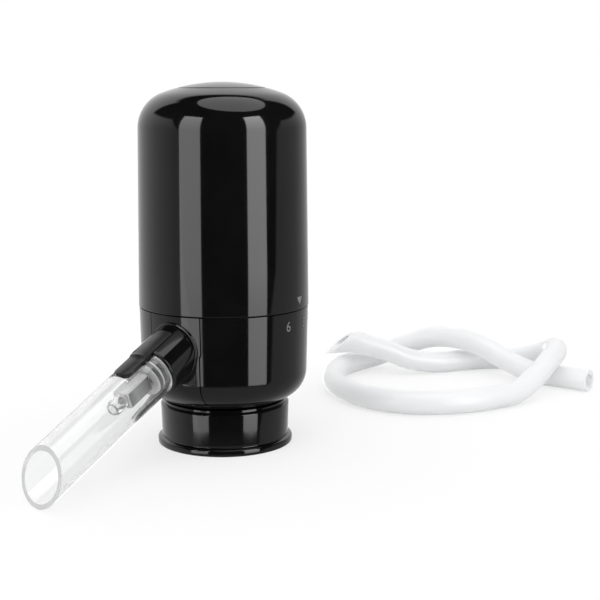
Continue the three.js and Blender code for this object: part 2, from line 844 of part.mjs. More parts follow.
function motorPieces() {
  const shaftTopZ = motorZ + shaftInMotor;
  const can = cut(
    drum(motorR, motorZ, motorTopZ, tubeSides),
    drum(shaftBoreR, motorZ - overrun, shaftTopZ + seat),
  );
  const capZ = motorTopZ + seat;
  const eccentric = drum(eccentricR, eccentricZ, eccentricZ + eccentricHeight, tubeSides);
  return {
    motor_can: [can, steel],
    motor_end_cap: [drum(motorCapR, capZ, capZ + motorCapHeight, tubeSides), innerBlack],
    motor_shaft: [
      joined(drum(shaftR, eccentricZ, shaftTopZ), moved(eccentric, eccentricOffset, 0, 0)),
      steel,
    ],
  };
}

// Frame: a foot ring on the casing's floor and a top ring, joined by four posts
function pumpFrame() {
  const foot = tube(
    frameFootOuterR,
    frameFootInnerR,
    frameFootZ,
    frameFootZ + frameFootHeight,
    innerSides,
  );
  const top = tube(
    postPlaceR + postR,
    postPlaceR - postR,
    frameTopZ - frameTopRingHeight,
    frameTopZ,
    innerSides,
  );
  const posts = around(postCount, postPlaceR, postDeg, (x, y) =>
    moved(drum(postR, frameFootZ + frameFootHeight / 2, frameTopZ), x, y, 0),
  );
  const pilots = around(postCount, postPlaceR, postDeg, (x, y) =>
    moved(drum(postPilotR, frameTopZ - postPilotDepth, frameTopZ + overrun), x, y, 0),
  );
  return cut(joined(foot, top, ...posts), ...pilots);
}

// Battery tray: a deck on the frame and a cross-shaped core that parts four cells
function batteryTray() {
  const core = drum(trayCoreR, deckTopZ - seat, cellTopZ, innerSides);
  const bores = around(cellCount, cellPlace, cellDeg, (x, y) =>
    moved(drum(cellBoreR, deckTopZ, cellTopZ + overrun, tubeSides), x, y, 0),
  );
  const holes = around(postCount, postPlaceR, postDeg, (x, y) =>
    moved(drum(postPilotR, deckZ - overrun, deckTopZ + overrun), x, y, 0),
  );
  const deck = drum(deckR, deckZ, deckTopZ, innerSides);
  return cut(joined(deck, cut(core, ...bores)), ...holes);
}

function cell(nubUp) {
  const shoulderZ = cellLength - cellNubHeight;
  const profile = [
    [0, 0],
    [cellR, 0],
    [cellR, shoulderZ],
    [cellNubR, shoulderZ],
    [cellNubR, cellLength],
    [0, cellLength],
  ];
  const placed = profile.map(([r, z]) => [r, cellZ + (nubUp ? z : cellLength - z)]);
  return turned(placed, tubeSides);
}

function controlBoard() {
  const disc = drum(boardR, boardZ, boardZ + boardThickness, tubeSides);
  const trim = block(
    boardR * 2,
    boardR,
    boardThickness + overrun,
    0,
    boardFlat + boardR / 2,
    boardZ + boardThickness / 2,
  );
  return cut(disc, trim);
}

const tactSwitch = () =>
  cut(
    block(switchWidth, switchWidth, switchHeight, 0, 0, switchZ + switchHeight / 2),
    drum(plungerBoreR, switchZ + switchFloor, switchTopZ + overrun),
  );

function deckScrew(x, y) {
  const headZ = deckTopZ + seat;
  return moved(
    turned(
      [
        [0, headZ - screwLength],
        [screwR, headZ - screwLength],
        [screwR, headZ],
        [screwHeadR, headZ],
        [screwHeadR, headZ + screwHeadHeight],
        [0, headZ + screwHeadHeight],
      ],
      rodSides,
    ),
    x,
    y,
    0,
  );
}

// The hose's centre line as a smooth curve through its route
function hoseCurve() {
  const [c, s] = [Math.cos(hoseTurn), Math.sin(hoseTurn)];
  const points = hoseRoute.map(([along, away, lift]) => {
    const [u, v] = [hoseAt[0] + along, hoseAt[1] + away];
    return new THREE.Vector3(u * c - v * s, u * s + v * c, hoseLift + lift);
  });
  return new THREE.CatmullRomCurve3(points, false, "centripetal");
}

// Least distance from the hose to itself, measured between points more than four diameters
// apart along it
function leastHoseGap(curve) {
  const points = curve.getSpacedPoints(hoseSteps * 8);
  const step = curve.getLength() / (hoseSteps * 8);
  const apart = Math.ceil((hoseR * 8) / step);
  let least = Infinity;
  for (let i = 0; i < points.length; i++) {
    for (let k = i + apart; k < points.length; k++) {
      least = Math.min(least, points[i].distanceTo(points[k]));
    }
  }
  return least - hoseR * 2;
}

function suctionHose() {
  const curve = hoseCurve();
  const section = new THREE.Shape();
  for (let i = 0; i < hoseSides; i++) {
    const angle = (2 * Math.PI * (i + 1 / 2)) / hoseSides;
    const [x, y] = [hoseR * Math.cos(angle), hoseR * Math.sin(angle)];
    if (i === 0) section.moveTo(x, y);
    else section.lineTo(x, y);
  }
  section.closePath();
  const options = { steps: hoseSteps, bevelEnabled: false, extrudePath: curve };
  console.log("hose length", curve.getLength().toFixed(1), "mm");
  console.log("least gap of the hose to itself", leastHoseGap(curve).toFixed(2), "mm");
  return solid(new THREE.ExtrudeGeometry(section, options));
}

// The assembly
const shell = lowerShell();
addPiece("upper_casing", upperCasing(), glossBlack);
addPiece("power_button", powerButton(), glossBlack);
addPiece("selector_ring", selectorRing(), innerBlack);
addPiece("lower_casing", cut(shell, panelPrism(gapHalf)), glossBlack);
addPiece("front_panel", frontPanel(shell), glossBlack);
addPiece("neck_skirt", neckSkirt(), glossBlack);
addPiece("neck_gasket", neckGasket(), sealRubber);
addPiece("hose_nipple", hoseNipple(), innerBlack);
addPiece("base_manifold", baseManifold(), innerWhite);
addPiece("outlet_elbow", outletElbow(), innerWhite);

addPiece("spout_collar", spoutCollar(), glossBlack, spoutGroup);
addPiece("spout_latch", spoutLatch(), glossBlack, spoutGroup);
addPiece("spout_spigot", spoutSpigot(), clearPlastic, spoutGroup);
for (const i of [0, 1]) addPiece("spout_o_ring_" + (i + 1), oRing(i), sealRubber, spoutGroup);
addPiece("aerator_nozzle", aeratorNozzle(), clearPlastic, spoutGroup);
addPiece("nozzle_tip", nozzleTip(), clearPlastic, spoutGroup);
addPiece("clear_spout", clearSpout(), clearPlastic, spoutGroup);

const pump = new THREE.Group();
pump.position.y = pumpY;
root.add(pump);
for (const [name, [body, material]] of Object.entries({ ...pumpPieces(), ...motorPieces() })) {
  addPiece(name, body, material, pump);
}

addPiece("pump_frame", pumpFrame(), innerBlack);
addPiece("battery_tray", batteryTray(), innerBlack);
around(postCount, postPlaceR, postDeg, (x, y, angle, i) =>
  addPiece("deck_screw_" + (i + 1), deckScrew(x, y), steel),
);
around(cellCount, cellPlace, cellDeg, (x, y, angle, i) => {
  const battery = new THREE.Group();
  battery.position.set(x, y, 0);
  root.add(battery);
  addPiece("battery_cell_" + (i + 1), cell(i % 2 === 0), cellJacket, battery);
  const contact = drum(contactR, contactZ, contactZ + contactThickness, tubeSides);
  addPiece("cell_contact_" + (i + 1), contact, steel, battery);
});
for (const side of [-1, 1]) {
  const bridge = block(
    bridgeLength,
    bridgeWidth,
    bridgeThickness,
    0,
    side * cellPlace * Math.SQRT1_2,
    bridgeZ + bridgeThickness / 2,
  ).rotate([0, 0, cellDeg + postDeg]);
  addPiece(side < 0 ? "contact_bridge_front" : "contact_bridge_rear", bridge, steel);
}
addPiece("tray_cap", drum(trayCapR, trayCapZ, trayCapZ + trayCapThickness, tubeSides), innerBlack);
addPiece("control_board", controlBoard(), boardGreen);
addPiece("tact_switch", tactSwitch(), innerBlack);
addPiece("switch_plunger", drum(plungerR, plungerZ, plungerZ + plungerLength), innerWhite);

// The body and spout end up with the origin below their middle, and the hose moves with them
const space = new THREE.Box3().setFromObject(root, true);
root.position.y = -(space.min.y + space.max.y) / 2;
console.log("body axis at y =", root.position.y.toFixed(4), "mm");

addPiece("suction_hose", suctionHose(), silicone);

export default root;
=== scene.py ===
"""Looks of an electric wine aerator: gloss black casings, a clear spout and a milky suction hose.

The inner solids stay as they are in the CAD frame, and the outer pieces are made again here
with finer forms. Sizes are in millimetres from the body's axis, unless a comment says metres,
and turn into metres when a mesh is made.
"""
import json
import math

import bmesh
import bpy
from mathutils import Matrix, Vector


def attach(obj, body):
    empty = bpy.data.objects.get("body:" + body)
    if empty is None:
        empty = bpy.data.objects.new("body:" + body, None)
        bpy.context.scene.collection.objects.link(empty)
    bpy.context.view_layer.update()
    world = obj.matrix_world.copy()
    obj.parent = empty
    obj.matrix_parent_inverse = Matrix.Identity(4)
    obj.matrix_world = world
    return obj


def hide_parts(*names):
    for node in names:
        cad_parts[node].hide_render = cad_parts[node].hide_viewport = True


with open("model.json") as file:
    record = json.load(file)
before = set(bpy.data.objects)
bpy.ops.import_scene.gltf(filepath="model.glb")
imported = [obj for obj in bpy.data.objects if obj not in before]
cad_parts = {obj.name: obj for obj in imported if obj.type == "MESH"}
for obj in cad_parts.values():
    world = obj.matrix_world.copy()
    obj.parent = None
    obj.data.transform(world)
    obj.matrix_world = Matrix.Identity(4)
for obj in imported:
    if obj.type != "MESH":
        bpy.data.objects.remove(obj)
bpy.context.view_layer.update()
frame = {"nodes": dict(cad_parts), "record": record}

MM = 0.001
AXIS_Y = 32.3689  # where the body's axis stands in the frame
FULL = 2 * math.pi
TOP = math.pi / 2
UP = Vector((0, 0, 1))
TINY = 1e-6
CREASE = 40  # degrees; the edges of most pieces stay sharp from there on
ROUNDED_FROM = 38  # degrees; the edges that round_edges takes


# Camera, in metres

VIEW_AZIMUTH = math.radians(36.4)
VIEW_DISTANCE = 0.450
VIEW_HEIGHT = 0.1275
VIEW_TILT = math.radians(9.7)
VIEW_YAW = math.radians(3.43)
FOCAL_PIXELS = 1286
IMAGE_PIXELS = 600
SENSOR = 36.0
CLIP_START, CLIP_END = 0.01, 20


def put_in_scene(name, data):
    placed = bpy.data.objects.new(name, data)
    bpy.context.scene.collection.objects.link(placed)
    return placed


def make_camera():
    data = bpy.data.cameras.new("camera")
    data.sensor_width = SENSOR
    data.lens = FOCAL_PIXELS / IMAGE_PIXELS * SENSOR
    data.clip_start, data.clip_end = CLIP_START, CLIP_END
    camera = put_in_scene("camera", data)
    turn = Matrix.Rotation(VIEW_AZIMUTH, 3, "Z")
    ahead = Vector((math.sin(VIEW_YAW), math.cos(VIEW_YAW), 0))
    right = turn @ Vector((ahead.y, -ahead.x, 0))
    ahead = turn @ ahead
    forward = ahead * math.cos(VIEW_TILT) - UP * math.sin(VIEW_TILT)
    up = ahead * math.sin(VIEW_TILT) + UP * math.cos(VIEW_TILT)
    place = Vector((0, AXIS_Y * MM, VIEW_HEIGHT)) + turn @ Vector((0, -VIEW_DISTANCE, 0))
    basis = Matrix((right, up, -forward)).transposed().to_4x4()
    camera.matrix_world = Matrix.Translation(place) @ basis
    bpy.context.scene.camera = camera


# Mesh helpers

def smooth_mesh(name, shape, sharp=None):
    """A mesh with smooth faces from a shape's vertices and faces."""
    vertices, faces = shape
    mesh = bpy.data.meshes.new(name)
    mesh.from_pydata([(x * MM, (y + AXIS_Y) * MM, z * MM) for x, y, z in vertices], [], faces)
    work = bmesh.new()
    work.from_mesh(mesh)
    bmesh.ops.delete(work, geom=[v for v in work.verts if not v.link_faces], context="VERTS")
    bmesh.ops.recalc_face_normals(work, faces=work.faces)
    for face in work.faces:
        face.smooth = True
    for edge in work.edges:
        if sharp is not None and len(edge.link_faces) == 2:
            edge.smooth = edge.calc_face_angle(0) < math.radians(sharp)
    work.to_mesh(mesh)
    work.free()
    return mesh


def add_piece(name, shape, material, body, replaced=(), sharp=None):
    mesh = smooth_mesh(name, shape, sharp)
    mesh.materials.append(material)
    piece = put_in_scene(name, mesh)
    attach(piece, body)
    if replaced:
        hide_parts(*replaced)
    return piece


def round_edges(piece, width, segments=3, tone=-1):
    """Rounds the sharp edges of a piece, in its own material or in the one that tone counts."""
    modifier = piece.modifiers.new("edges", "BEVEL")
    modifier.width = width * MM
    modifier.segments = segments
    modifier.limit_method = "ANGLE"
    modifier.angle_limit = math.radians(ROUNDED_FROM)
    modifier.harden_normals = True
    modifier.use_clamp_overlap = True
    modifier.material = tone


def polar(radius, angle):
    return radius * math.cos(angle), radius * math.sin(angle)


def arc(centre_r, centre_z, radius, start, end, steps):
    """Points of an arc in the plane of a profile, with angles in degrees."""
    angles = [math.radians(start + (end - start) * i / steps) for i in range(steps + 1)]
    return [(centre_r + radius * math.cos(a), centre_z + radius * math.sin(a)) for a in angles]


def rounded(profile, closed=True, steps=5):
    """A profile whose points with a third number get that corner radius."""
    most = 0.49  # share of an edge that one corner may take
    out = []
    count = len(profile)
    for i, point in enumerate(profile):
        ends = not closed and i in (0, count - 1)
        if len(point) == 2 or ends:
            out.append(tuple(point[:2]))
            continue
        here = Vector(point[:2])
        before = Vector(profile[i - 1][:2]) - here
        after = Vector(profile[(i + 1) % count][:2]) - here
        half = before.angle(after) / 2
        reach = min(point[2] / math.tan(half), before.length * most, after.length * most)
        radius = reach * math.tan(half)
        middle = (before.normalized() + after.normalized()).normalized()
        centre = here + middle * (radius / math.sin(half))
        first = here + before.normalized() * reach - centre
        last = here + after.normalized() * reach - centre
        turn = math.atan2(first.x * last.y - first.y * last.x, first.dot(last))
        for k in range(steps + 1):
            spoke = Matrix.Rotation(turn * k / steps, 2) @ first
            out.append((centre.x + spoke.x, centre.y + spoke.y))
    return out


def lathe(profile, segments, place=lambda *point: point):
    """A turned shape. A profile that starts and ends on the axis is open."""
    vertices, rings = [], []
    for r, z in profile:
        if r < TINY:
            rings.append([len(vertices)] * segments)
            vertices.append(place(0, 0, z))
            continue
        rings.append(list(range(len(vertices), len(vertices) + segments)))
        for k in range(segments):
            vertices.append(place(*polar(r, FULL * k / segments), z))
    faces = []
    is_open = profile[0][0] < TINY and profile[-1][0] < TINY
    for i in range(len(rings) - (1 if is_open else 0)):
        a, b = rings[i], rings[(i + 1) % len(rings)]
        for k in range(segments):
            n = (k + 1) % segments
            corners = [a[k], a[n], b[n], b[k]]
            kept = [c for j, c in enumerate(corners) if c != corners[j - 1]]
            if len(set(kept)) > 2:
                faces.append(kept)
    return vertices, faces


def walled(outer, inner, cyclic, hole=lambda i, j: False):
    """A closed wall between two grids of points, without the cells that hole() names."""
    rows, columns = len(outer), len(outer[0])
    vertices = [p for row in outer for p in row] + [p for row in inner for p in row]
    offset = rows * columns
    last = columns if cyclic else columns - 1

    def index(i, j):
        return i * columns + j % columns

    def solid(i, j):
        inside = 0 <= i < rows - 1 and (cyclic or 0 <= j < last)
        return inside and not hole(i, j % columns)

    faces = []
    for i in range(rows - 1):
        for j in range(last):
            if not solid(i, j):
                continue
            a, b, c, d = index(i, j), index(i, j + 1), index(i + 1, j + 1), index(i + 1, j)
            faces.append([a, b, c, d])
            faces.append([d + offset, c + offset, b + offset, a + offset])
            sides = ((i - 1, j, a, b), (i, j + 1, b, c), (i + 1, j, c, d), (i, j - 1, d, a))
            for row, column, p, q in sides:
                if not solid(row, column):
                    faces.append([p, p + offset, q + offset, q])
    return vertices, faces


def joined(first, second):
    """Two shapes as one, each with its own faces."""
    start = len(first[0])
    return first[0] + second[0], first[1] + [[v + start for v in face] for face in second[1]]


def two_tone(piece, material, chosen):
    """Gives the faces whose normals are chosen a second material."""
    piece.data.materials.append(material)
    for face in piece.data.polygons:
        if chosen(face.normal):
            face.material_index = 1


def spaced(low, high, count):
    return [low + (high - low) * i / count for i in range(count + 1)]


def turns_with_gap(middle, half, gap_columns, columns, spread=lambda share: 2 * share - 1):
    """Angles of a full turn. The first ones cross a gap to both sides of a middle."""
    rest = columns - gap_columns
    gap = [middle + half * spread(k / gap_columns) for k in range(gap_columns)]
    return gap + [middle + half + (FULL - 2 * half) * k / rest for k in range(rest)]


# The spout's own frame: X across, Y up from the spout's axis, Z out along it

SPOUT_SLOPE = math.radians(23)
SPOUT_COS, SPOUT_SIN = math.cos(SPOUT_SLOPE), math.sin(SPOUT_SLOPE)
SPOUT_AXIS = Vector((0, -SPOUT_COS, -SPOUT_SIN))
CASING_R = 29.55  # where the spout leaves it
SPOUT_ROOT_Y, SPOUT_ROOT_Z = -CASING_R, 37.0
NOZZLE_START, NOZZLE_LENGTH = 17.3, 11.5


def in_spout(x, y, along):
    out_y = SPOUT_ROOT_Y - y * SPOUT_SIN - along * SPOUT_COS
    return (x, out_y, SPOUT_ROOT_Z + y * SPOUT_COS - along * SPOUT_SIN)


def along_to_casing(x, y, radius):
    """Distance along the spout's axis at which a line beside it leaves a drum on the body's axis."""
    return (SPOUT_ROOT_Y - y * SPOUT_SIN + math.sqrt(radius**2 - x**2)) / SPOUT_COS


# Node helpers

GRAIN_DEPTH = 0.0001  # metres
NOISE_SPAN = (0.3, 0.7)  # what most of a noise lies between
TINT_SPAN = (0.35, 0.65)


def node_tree(owner, emptied=False):
    owner.use_nodes = True
    nodes = owner.node_tree.nodes
    if emptied:
        nodes.clear()
    return nodes, owner.node_tree.links


def new_material(name):
    material = bpy.data.materials.new(name)
    nodes, links = node_tree(material)
    return material, nodes, links, nodes["Principled BSDF"]


def add_node(nodes, kind, **values):
    node = nodes.new(kind)
    for key, value in values.items():
        if key in node.inputs:
            node.inputs[key].default_value = value
        else:
            setattr(node, key, value)
    return node


def set_inputs(shader, values):
    for name, value in values.items():
        shader.inputs[name].default_value = value


def graded(nodes, links, source, low, high, from_value, to_value):
    """A value that goes from one number to another while its source goes from low to high."""
    spread = add_node(nodes, "ShaderNodeMapRange")
    ends = {"From Min": low, "From Max": high, "To Min": from_value, "To Max": to_value}
    set_inputs(spread, ends)
    links.new(source, spread.inputs["Value"])
    return spread.outputs["Result"]


def combined(nodes, links, operation, first, second):
    node = add_node(nodes, "ShaderNodeMath", operation=operation)
    links.new(first, node.inputs[0])
    links.new(second, node.inputs[1])
    return node.outputs[0]


def dot_product(nodes, links, source, vector):
    dot = add_node(nodes, "ShaderNodeVectorMath", operation="DOT_PRODUCT")
    dot.inputs[1].default_value = vector
    links.new(source, dot.inputs[0])
    return dot.outputs["Value"]


def colour_ramp(nodes, links, source, shader, stops, interpolation="LINEAR"):
    """Colours a shader from a factor, by stops of a position and a colour."""
    ramp = add_node(nodes, "ShaderNodeValToRGB")
    elements = ramp.color_ramp.elements
    ramp.color_ramp.interpolation = interpolation
    for i, (position, colour) in enumerate(stops):
        stop = elements[i] if i < 2 else elements.new(position)
        stop.position = position
        stop.color = (*colour, 1)
    links.new(source, ramp.inputs["Fac"])
    links.new(ramp.outputs["Color"], shader.inputs["Base Color"])


def cloudy(nodes, links, scale, detail=2.0):
    place = add_node(nodes, "ShaderNodeTexCoord")
    noise = add_node(nodes, "ShaderNodeTexNoise", Scale=scale, Detail=detail)
    links.new(place.outputs["Object"], noise.inputs["Vector"])
    return noise


def grained(nodes, links, shader, scale, strength, detail=2.0):
    """Gives a shader a fine grain, and returns its noise."""
    noise = cloudy(nodes, links, scale, detail)
    bump = add_node(nodes, "ShaderNodeBump", Strength=strength, Distance=GRAIN_DEPTH)
    links.new(noise.outputs["Fac"], bump.inputs["Height"])
    links.new(bump.outputs["Normal"], shader.inputs["Normal"])
    return noise


def uneven_gloss(nodes, links, shader, noise, low, high):
    """Lets a noise drive the roughness between two values."""
    rough = graded(nodes, links, noise.outputs["Fac"], *NOISE_SPAN, low, high)
    links.new(rough, shader.inputs["Roughness"])


def tinted(nodes, links, shader, noise, dark, light):
    stops = list(zip(TINT_SPAN, (dark, light)))
    colour_ramp(nodes, links, noise.outputs["Fac"], shader, stops)


# Materials

# Darkest and lightest colour, roughness, then the scale and the strength of the grain
PLASTICS = {
    "gloss_black": ((0.0028, 0.0028, 0.003), (0.004, 0.004, 0.0042), 0.07, 60, 0.01),
    "latch_black": ((0.006, 0.006, 0.0062), (0.01, 0.01, 0.0102), 0.36, 500, 0.04),
    "inner_black": ((0.014, 0.014, 0.015), (0.02, 0.02, 0.021), 0.55, 900, 0.05),
    "inner_white": ((0.6, 0.6, 0.57), (0.68, 0.68, 0.65), 0.45, 900, 0.05),
    "seal_rubber": ((0.012, 0.012, 0.012), (0.02, 0.02, 0.02), 0.8, 900, 0.05),
    "print_grey": ((0.16, 0.16, 0.16), (0.22, 0.22, 0.22), 0.5, 1500, 0.05),
}
PLASTIC_IOR = 1.5
PLASTIC_SPREAD = 0.15  # share of its roughness that varies
# Highest roughness, tone, and the share that is let through
CLEARS = {
    "clear_plastic": (0.02, 0.93, 0.98),
    "clear_edge": (0.3, 0.97, 0.45),
    "clear_core": (0.12, 0.96, 0.55),
}
CLEAR_IOR = 1.49
CLEAR_CLOUD_SCALE = 90
STEEL_TINTS = ((0.42, 0.43, 0.45), (0.6, 0.61, 0.63))
STEEL_ROUGH = (0.24, 0.4)
BOARD_TINTS = ((0.008, 0.07, 0.028), (0.015, 0.11, 0.045))
BOARD_ROUGH = 0.35
CELL_FOOT, CELL_TOP = 0.0648, 0.1153  # metres
JACKET_STOPS = (
    (0, (0.5, 0.5, 0.5)), (0.03, (0.035, 0.05, 0.07)), (0.78, (0.45, 0.46, 0.47)),
    (0.97, (0.6, 0.6, 0.6)),
)
JACKET_ROUGH = (0.28, 0.38)
JACKET_METALLIC = 0.3
# Painted reflection for the nozzle block's flanks, by share along the block
FLANK_REFLECTION_STOPS = ((0, (0.01, 0.01, 0.0105)), (0.65, (0.22, 0.22, 0.223)), (1, (0.08, 0.08, 0.082)))
FLANK_REFLECTION_ROUGH = (0.15, 0.22)
SILICONE = {
    "Base Color": (0.958, 0.963, 0.972, 1),
    "Roughness": 0.3,
    "IOR": 1.41,
    "Transmission Weight": 0.2,
    "Subsurface Weight": 0.15,
    "Subsurface Radius": (1.0, 1.0, 1.0),
    "Subsurface Scale": 0.0015,
}


def plastic_material(name, dark, light, rough, scale, strength):
    """Moulded plastic: a little uneven in colour and roughness, with a faint grain."""
    material, nodes, links, shader = new_material(name)
    noise = grained(nodes, links, shader, scale, strength)
    tinted(nodes, links, shader, noise, dark, light)
    low, high = rough * (1 - PLASTIC_SPREAD), rough * (1 + PLASTIC_SPREAD)
    uneven_gloss(nodes, links, shader, noise, low, high)
    set_inputs(shader, {"IOR": PLASTIC_IOR})
    return material


def steel_material():
    material, nodes, links, shader = new_material("steel")
    noise = grained(nodes, links, shader, scale=1200, strength=0.08, detail=4)
    tinted(nodes, links, shader, noise, *STEEL_TINTS)
    uneven_gloss(nodes, links, shader, noise, *STEEL_ROUGH)
    set_inputs(shader, {"Metallic": 1.0})
    return material


def board_material():
    material, nodes, links, shader = new_material("board_green")
    noise = grained(nodes, links, shader, scale=700, strength=0.1)
    tinted(nodes, links, shader, noise, *BOARD_TINTS)
    set_inputs(shader, {"Roughness": BOARD_ROUGH})
    return material


def jacket_material():
    """Printed jacket of a cell: a dark body and a pale band below its cap."""
    material, nodes, links, shader = new_material("cell_jacket")
    place = add_node(nodes, "ShaderNodeTexCoord")
    split = add_node(nodes, "ShaderNodeSeparateXYZ")
    links.new(place.outputs["Object"], split.inputs["Vector"])
    height = graded(nodes, links, split.outputs["Z"], CELL_FOOT, CELL_TOP, 0, 1)
    colour_ramp(nodes, links, height, shader, JACKET_STOPS, "CONSTANT")
    noise = grained(nodes, links, shader, scale=400, strength=0.03)
    uneven_gloss(nodes, links, shader, noise, *JACKET_ROUGH)
    set_inputs(shader, {"Metallic": JACKET_METALLIC})
    return material


def clear_material(name, rough, tone, through):
    """Clear plastic, or with a lower share let through the paler one of its cut edges."""
    material, nodes, links, shader = new_material(name)
    uneven_gloss(nodes, links, shader, cloudy(nodes, links, CLEAR_CLOUD_SCALE), 0.0, rough)
    colour = (tone, tone + 0.002, tone + 0.004, 1)  # faintly cool
    set_inputs(shader, {"Base Color": colour, "IOR": CLEAR_IOR, "Transmission Weight": through})
    return material


def flank_reflection_material():
    """Painted reflection on the flanks of the nozzle's block: dark at the root, palest past the
    middle.
    """
    material, nodes, links, shader = new_material("smoke_plastic")
    place = add_node(nodes, "ShaderNodeTexCoord")
    along = dot_product(nodes, links, place.outputs["Object"], SPOUT_AXIS)
    root = SPOUT_AXIS.dot(Vector((0, SPOUT_ROOT_Y + AXIS_Y, SPOUT_ROOT_Z)))
    start, end = root + NOZZLE_START, root + NOZZLE_START + NOZZLE_LENGTH
    share = graded(nodes, links, along, start * MM, end * MM, 0, 1)
    colour_ramp(nodes, links, share, shader, FLANK_REFLECTION_STOPS)
    noise = grained(nodes, links, shader, scale=500, strength=0.05)
    uneven_gloss(nodes, links, shader, noise, *FLANK_REFLECTION_ROUGH)
    return material


def silicone_material():
    material, _, _, shader = new_material("silicone")
    set_inputs(shader, SILICONE)
    return material


def make_materials():
    made = {name: plastic_material(name, *values) for name, values in PLASTICS.items()}
    made.update({name: clear_material(name, *values) for name, values in CLEARS.items()})
    made["board_green"] = board_material()
    made["steel"] = steel_material()
    made["cell_jacket"] = jacket_material()
    made["smoke_plastic"] = flank_reflection_material()
    made["silicone"] = silicone_material()
    return made


# Suction hose

HOSE_R = 4.5
HOSE_BORE_R = 3.0
HOSE_LIFT = 4.6  # of its centre line, where it lies on the table
HOSE_AT = (95.0, 66.0)  # middle of the knot, to the right of the body and behind it
HOSE_TURN = math.radians(38)
# To the right, away and up, from the middle of the knot
HOSE_ROUTE = [
    (-48.4, 28.4, 10.2), (-36.3, 28.8, 10.2), (-23.2, 29.4, 7), (-11.3, 30.4, 2.2), (1.6, 32.6, 0),
    (13.4, 35.6, 0), (25.3, 37.6, 0), (37.8, 34.5, 0.7), (45.9, 25.8, 4.7), (48.5, 13.2, 9.4),
    (45.8, 1.4, 10.3), (39.9, -9, 8.8), (31.2, -18.8, 4), (21.9, -26.4, 0.3), (10.7, -33.1, 0),
    (-0.6, -37.6, 0), (-12.5, -39.2, 0), (-25.2, -37, 0), (-35.2, -30.4, 0), (-42.3, -20.6, 0),
    (-46.6, -8.4, 0), (-47.6, 3.6, 0), (-45.8, 16.6, 0), (-41.5, 27.8, 0), (-34.2, 37.4, 0),
    (-23.2, 44, 1.1), (-11.2, 44.7, 5.5), (1, 40.3, 9.8), (11, 33.4, 10.3), (20, 25.4, 8.4),
    (29.8, 16.7, 3.2), (38.8, 8.7, 0.1), (48.5, 0.1, 0), (57.7, -7.9, 0),
]
HOSE_SIDES = 36
HOSE_STEPS = 8  # between two points of the route
HOSE_INSET = Vector((-0.02, -0.25, 0.1))  # its finer skin stays inside the CAD's box
HOSE_CREASE = 50
BEVEL_REACH = 22.0
BEVEL_SLOPE = 1.35


def hose_points():
    """The hose's centre line: a centripetal Catmull-Rom curve through its route."""
    c, s = math.cos(HOSE_TURN), math.sin(HOSE_TURN)
    fixed = []
    for along, away, lift in HOSE_ROUTE:
        u, v = HOSE_AT[0] + along, HOSE_AT[1] + away
        fixed.append(Vector((u * c - v * s, u * s + v * c, HOSE_LIFT + lift)) + HOSE_INSET)
    fixed = [fixed[0] * 2 - fixed[1], *fixed, fixed[-1] * 2 - fixed[-2]]
    out = []
    for i in range(1, len(fixed) - 2):
        p0, p1, p2, p3 = fixed[i - 1 : i + 3]
        d0, d1, d2 = ((b - a).length ** 0.5 for a, b in ((p0, p1), (p1, p2), (p2, p3)))
        t1 = ((p1 - p0) / d0 - (p2 - p0) / (d0 + d1) + (p2 - p1) / d1) * d1
        t2 = ((p2 - p1) / d1 - (p3 - p1) / (d1 + d2) + (p3 - p2) / d2) * d1
        for k in range(HOSE_STEPS):
            t = k / HOSE_STEPS
            cubic = (p1 - p2) * 2 + t1 + t2
            square = (p2 - p1) * 3 - t1 * 2 - t2
            out.append(p1 + t1 * t + square * t * t + cubic * t**3)
    out.append(fixed[-2])
    return out


def make_hose(material):
    line = hose_points()
    frames, side = [], None
    for i, point in enumerate(line):
        ahead = (line[min(i + 1, len(line) - 1)] - line[max(i - 1, 0)]).normalized()
        up = UP if side is None else side
        side = (up - ahead * up.dot(ahead)).normalized()
        frames.append((point, ahead, side, ahead.cross(side)))
    reached = [0.0]
    for a, b in zip(line, line[1:]):
        reached.append(reached[-1] + (b - a).length)

    def skin(radius):
        grid = []
        for (point, ahead, up, across), along in zip(frames, reached):
            row = []
            for k in range(HOSE_SIDES):
                x, y = polar(radius, FULL * k / HOSE_SIDES)
                # The first end is cut on the slant, longest underneath
                cut = max(0.0, BEVEL_SLOPE * (x + HOSE_R)) * max(0.0, 1 - along / BEVEL_REACH)
                row.append(point + up * x + across * y + ahead * cut)
            grid.append(row)
        return grid

    shape = walled(skin(HOSE_R), skin(HOSE_BORE_R), True)
    hose = add_piece(
        "silicone_hose", shape, material, "base", ["suction_hose"], HOSE_CREASE
    )
    hose.visible_glossy = False  # the casings don't mirror it


# Room: directions are sines, and turns go to the left of the camera's own direction

WHITE = (1, 1, 1, 1)
SOFT_LEVEL = 0.95  # what the walls of the studio give to matt surfaces
# What gloss mirrors: a tall pale wall behind the object, low ones beside it, and a dark flag in front
WALL_SIDES = (math.radians(-32), math.radians(45))  # square to the tall wall's left and right ends
WALL_TOP, LOW_WALL_TOP, LOW_WALL_SLANT = 0.79, 0.36, 0.06
FLAG_MIDDLE = math.radians(9)
FLAG_EDGE, FLAG_LEAN, FLAG_SOFT = -0.346, 0.636, 0.03
FLAG_LEVEL = 0.01
ROOM_SIDE, ROOM_BEHIND, ROOM_ABOVE = 0.38, 0.5, 0.7
ROOM_MIDDLE = math.radians(25)  # its brightest side
TABLE_LEVEL, TABLE_TOP, TABLE_FOOT = 0.38, -0.31, -0.40
# White paper for its own light, and for the camera a darker one with a glow, which holds it at white
FLOOR_PAPER, FLOOR_SEEN, FLOOR_GLOW = 0.85, 0.35, 0.63
FLOOR_HALF = 12.0  # metres


def ray_kinds(nodes, links, names):
    """A factor of 1 or more for rays of any of the given kinds."""
    path = add_node(nodes, "ShaderNodeLightPath")
    total = path.outputs[names[0]]
    for name in names[1:]:
        total = combined(nodes, links, "MAXIMUM", total, path.outputs[name])
    return total


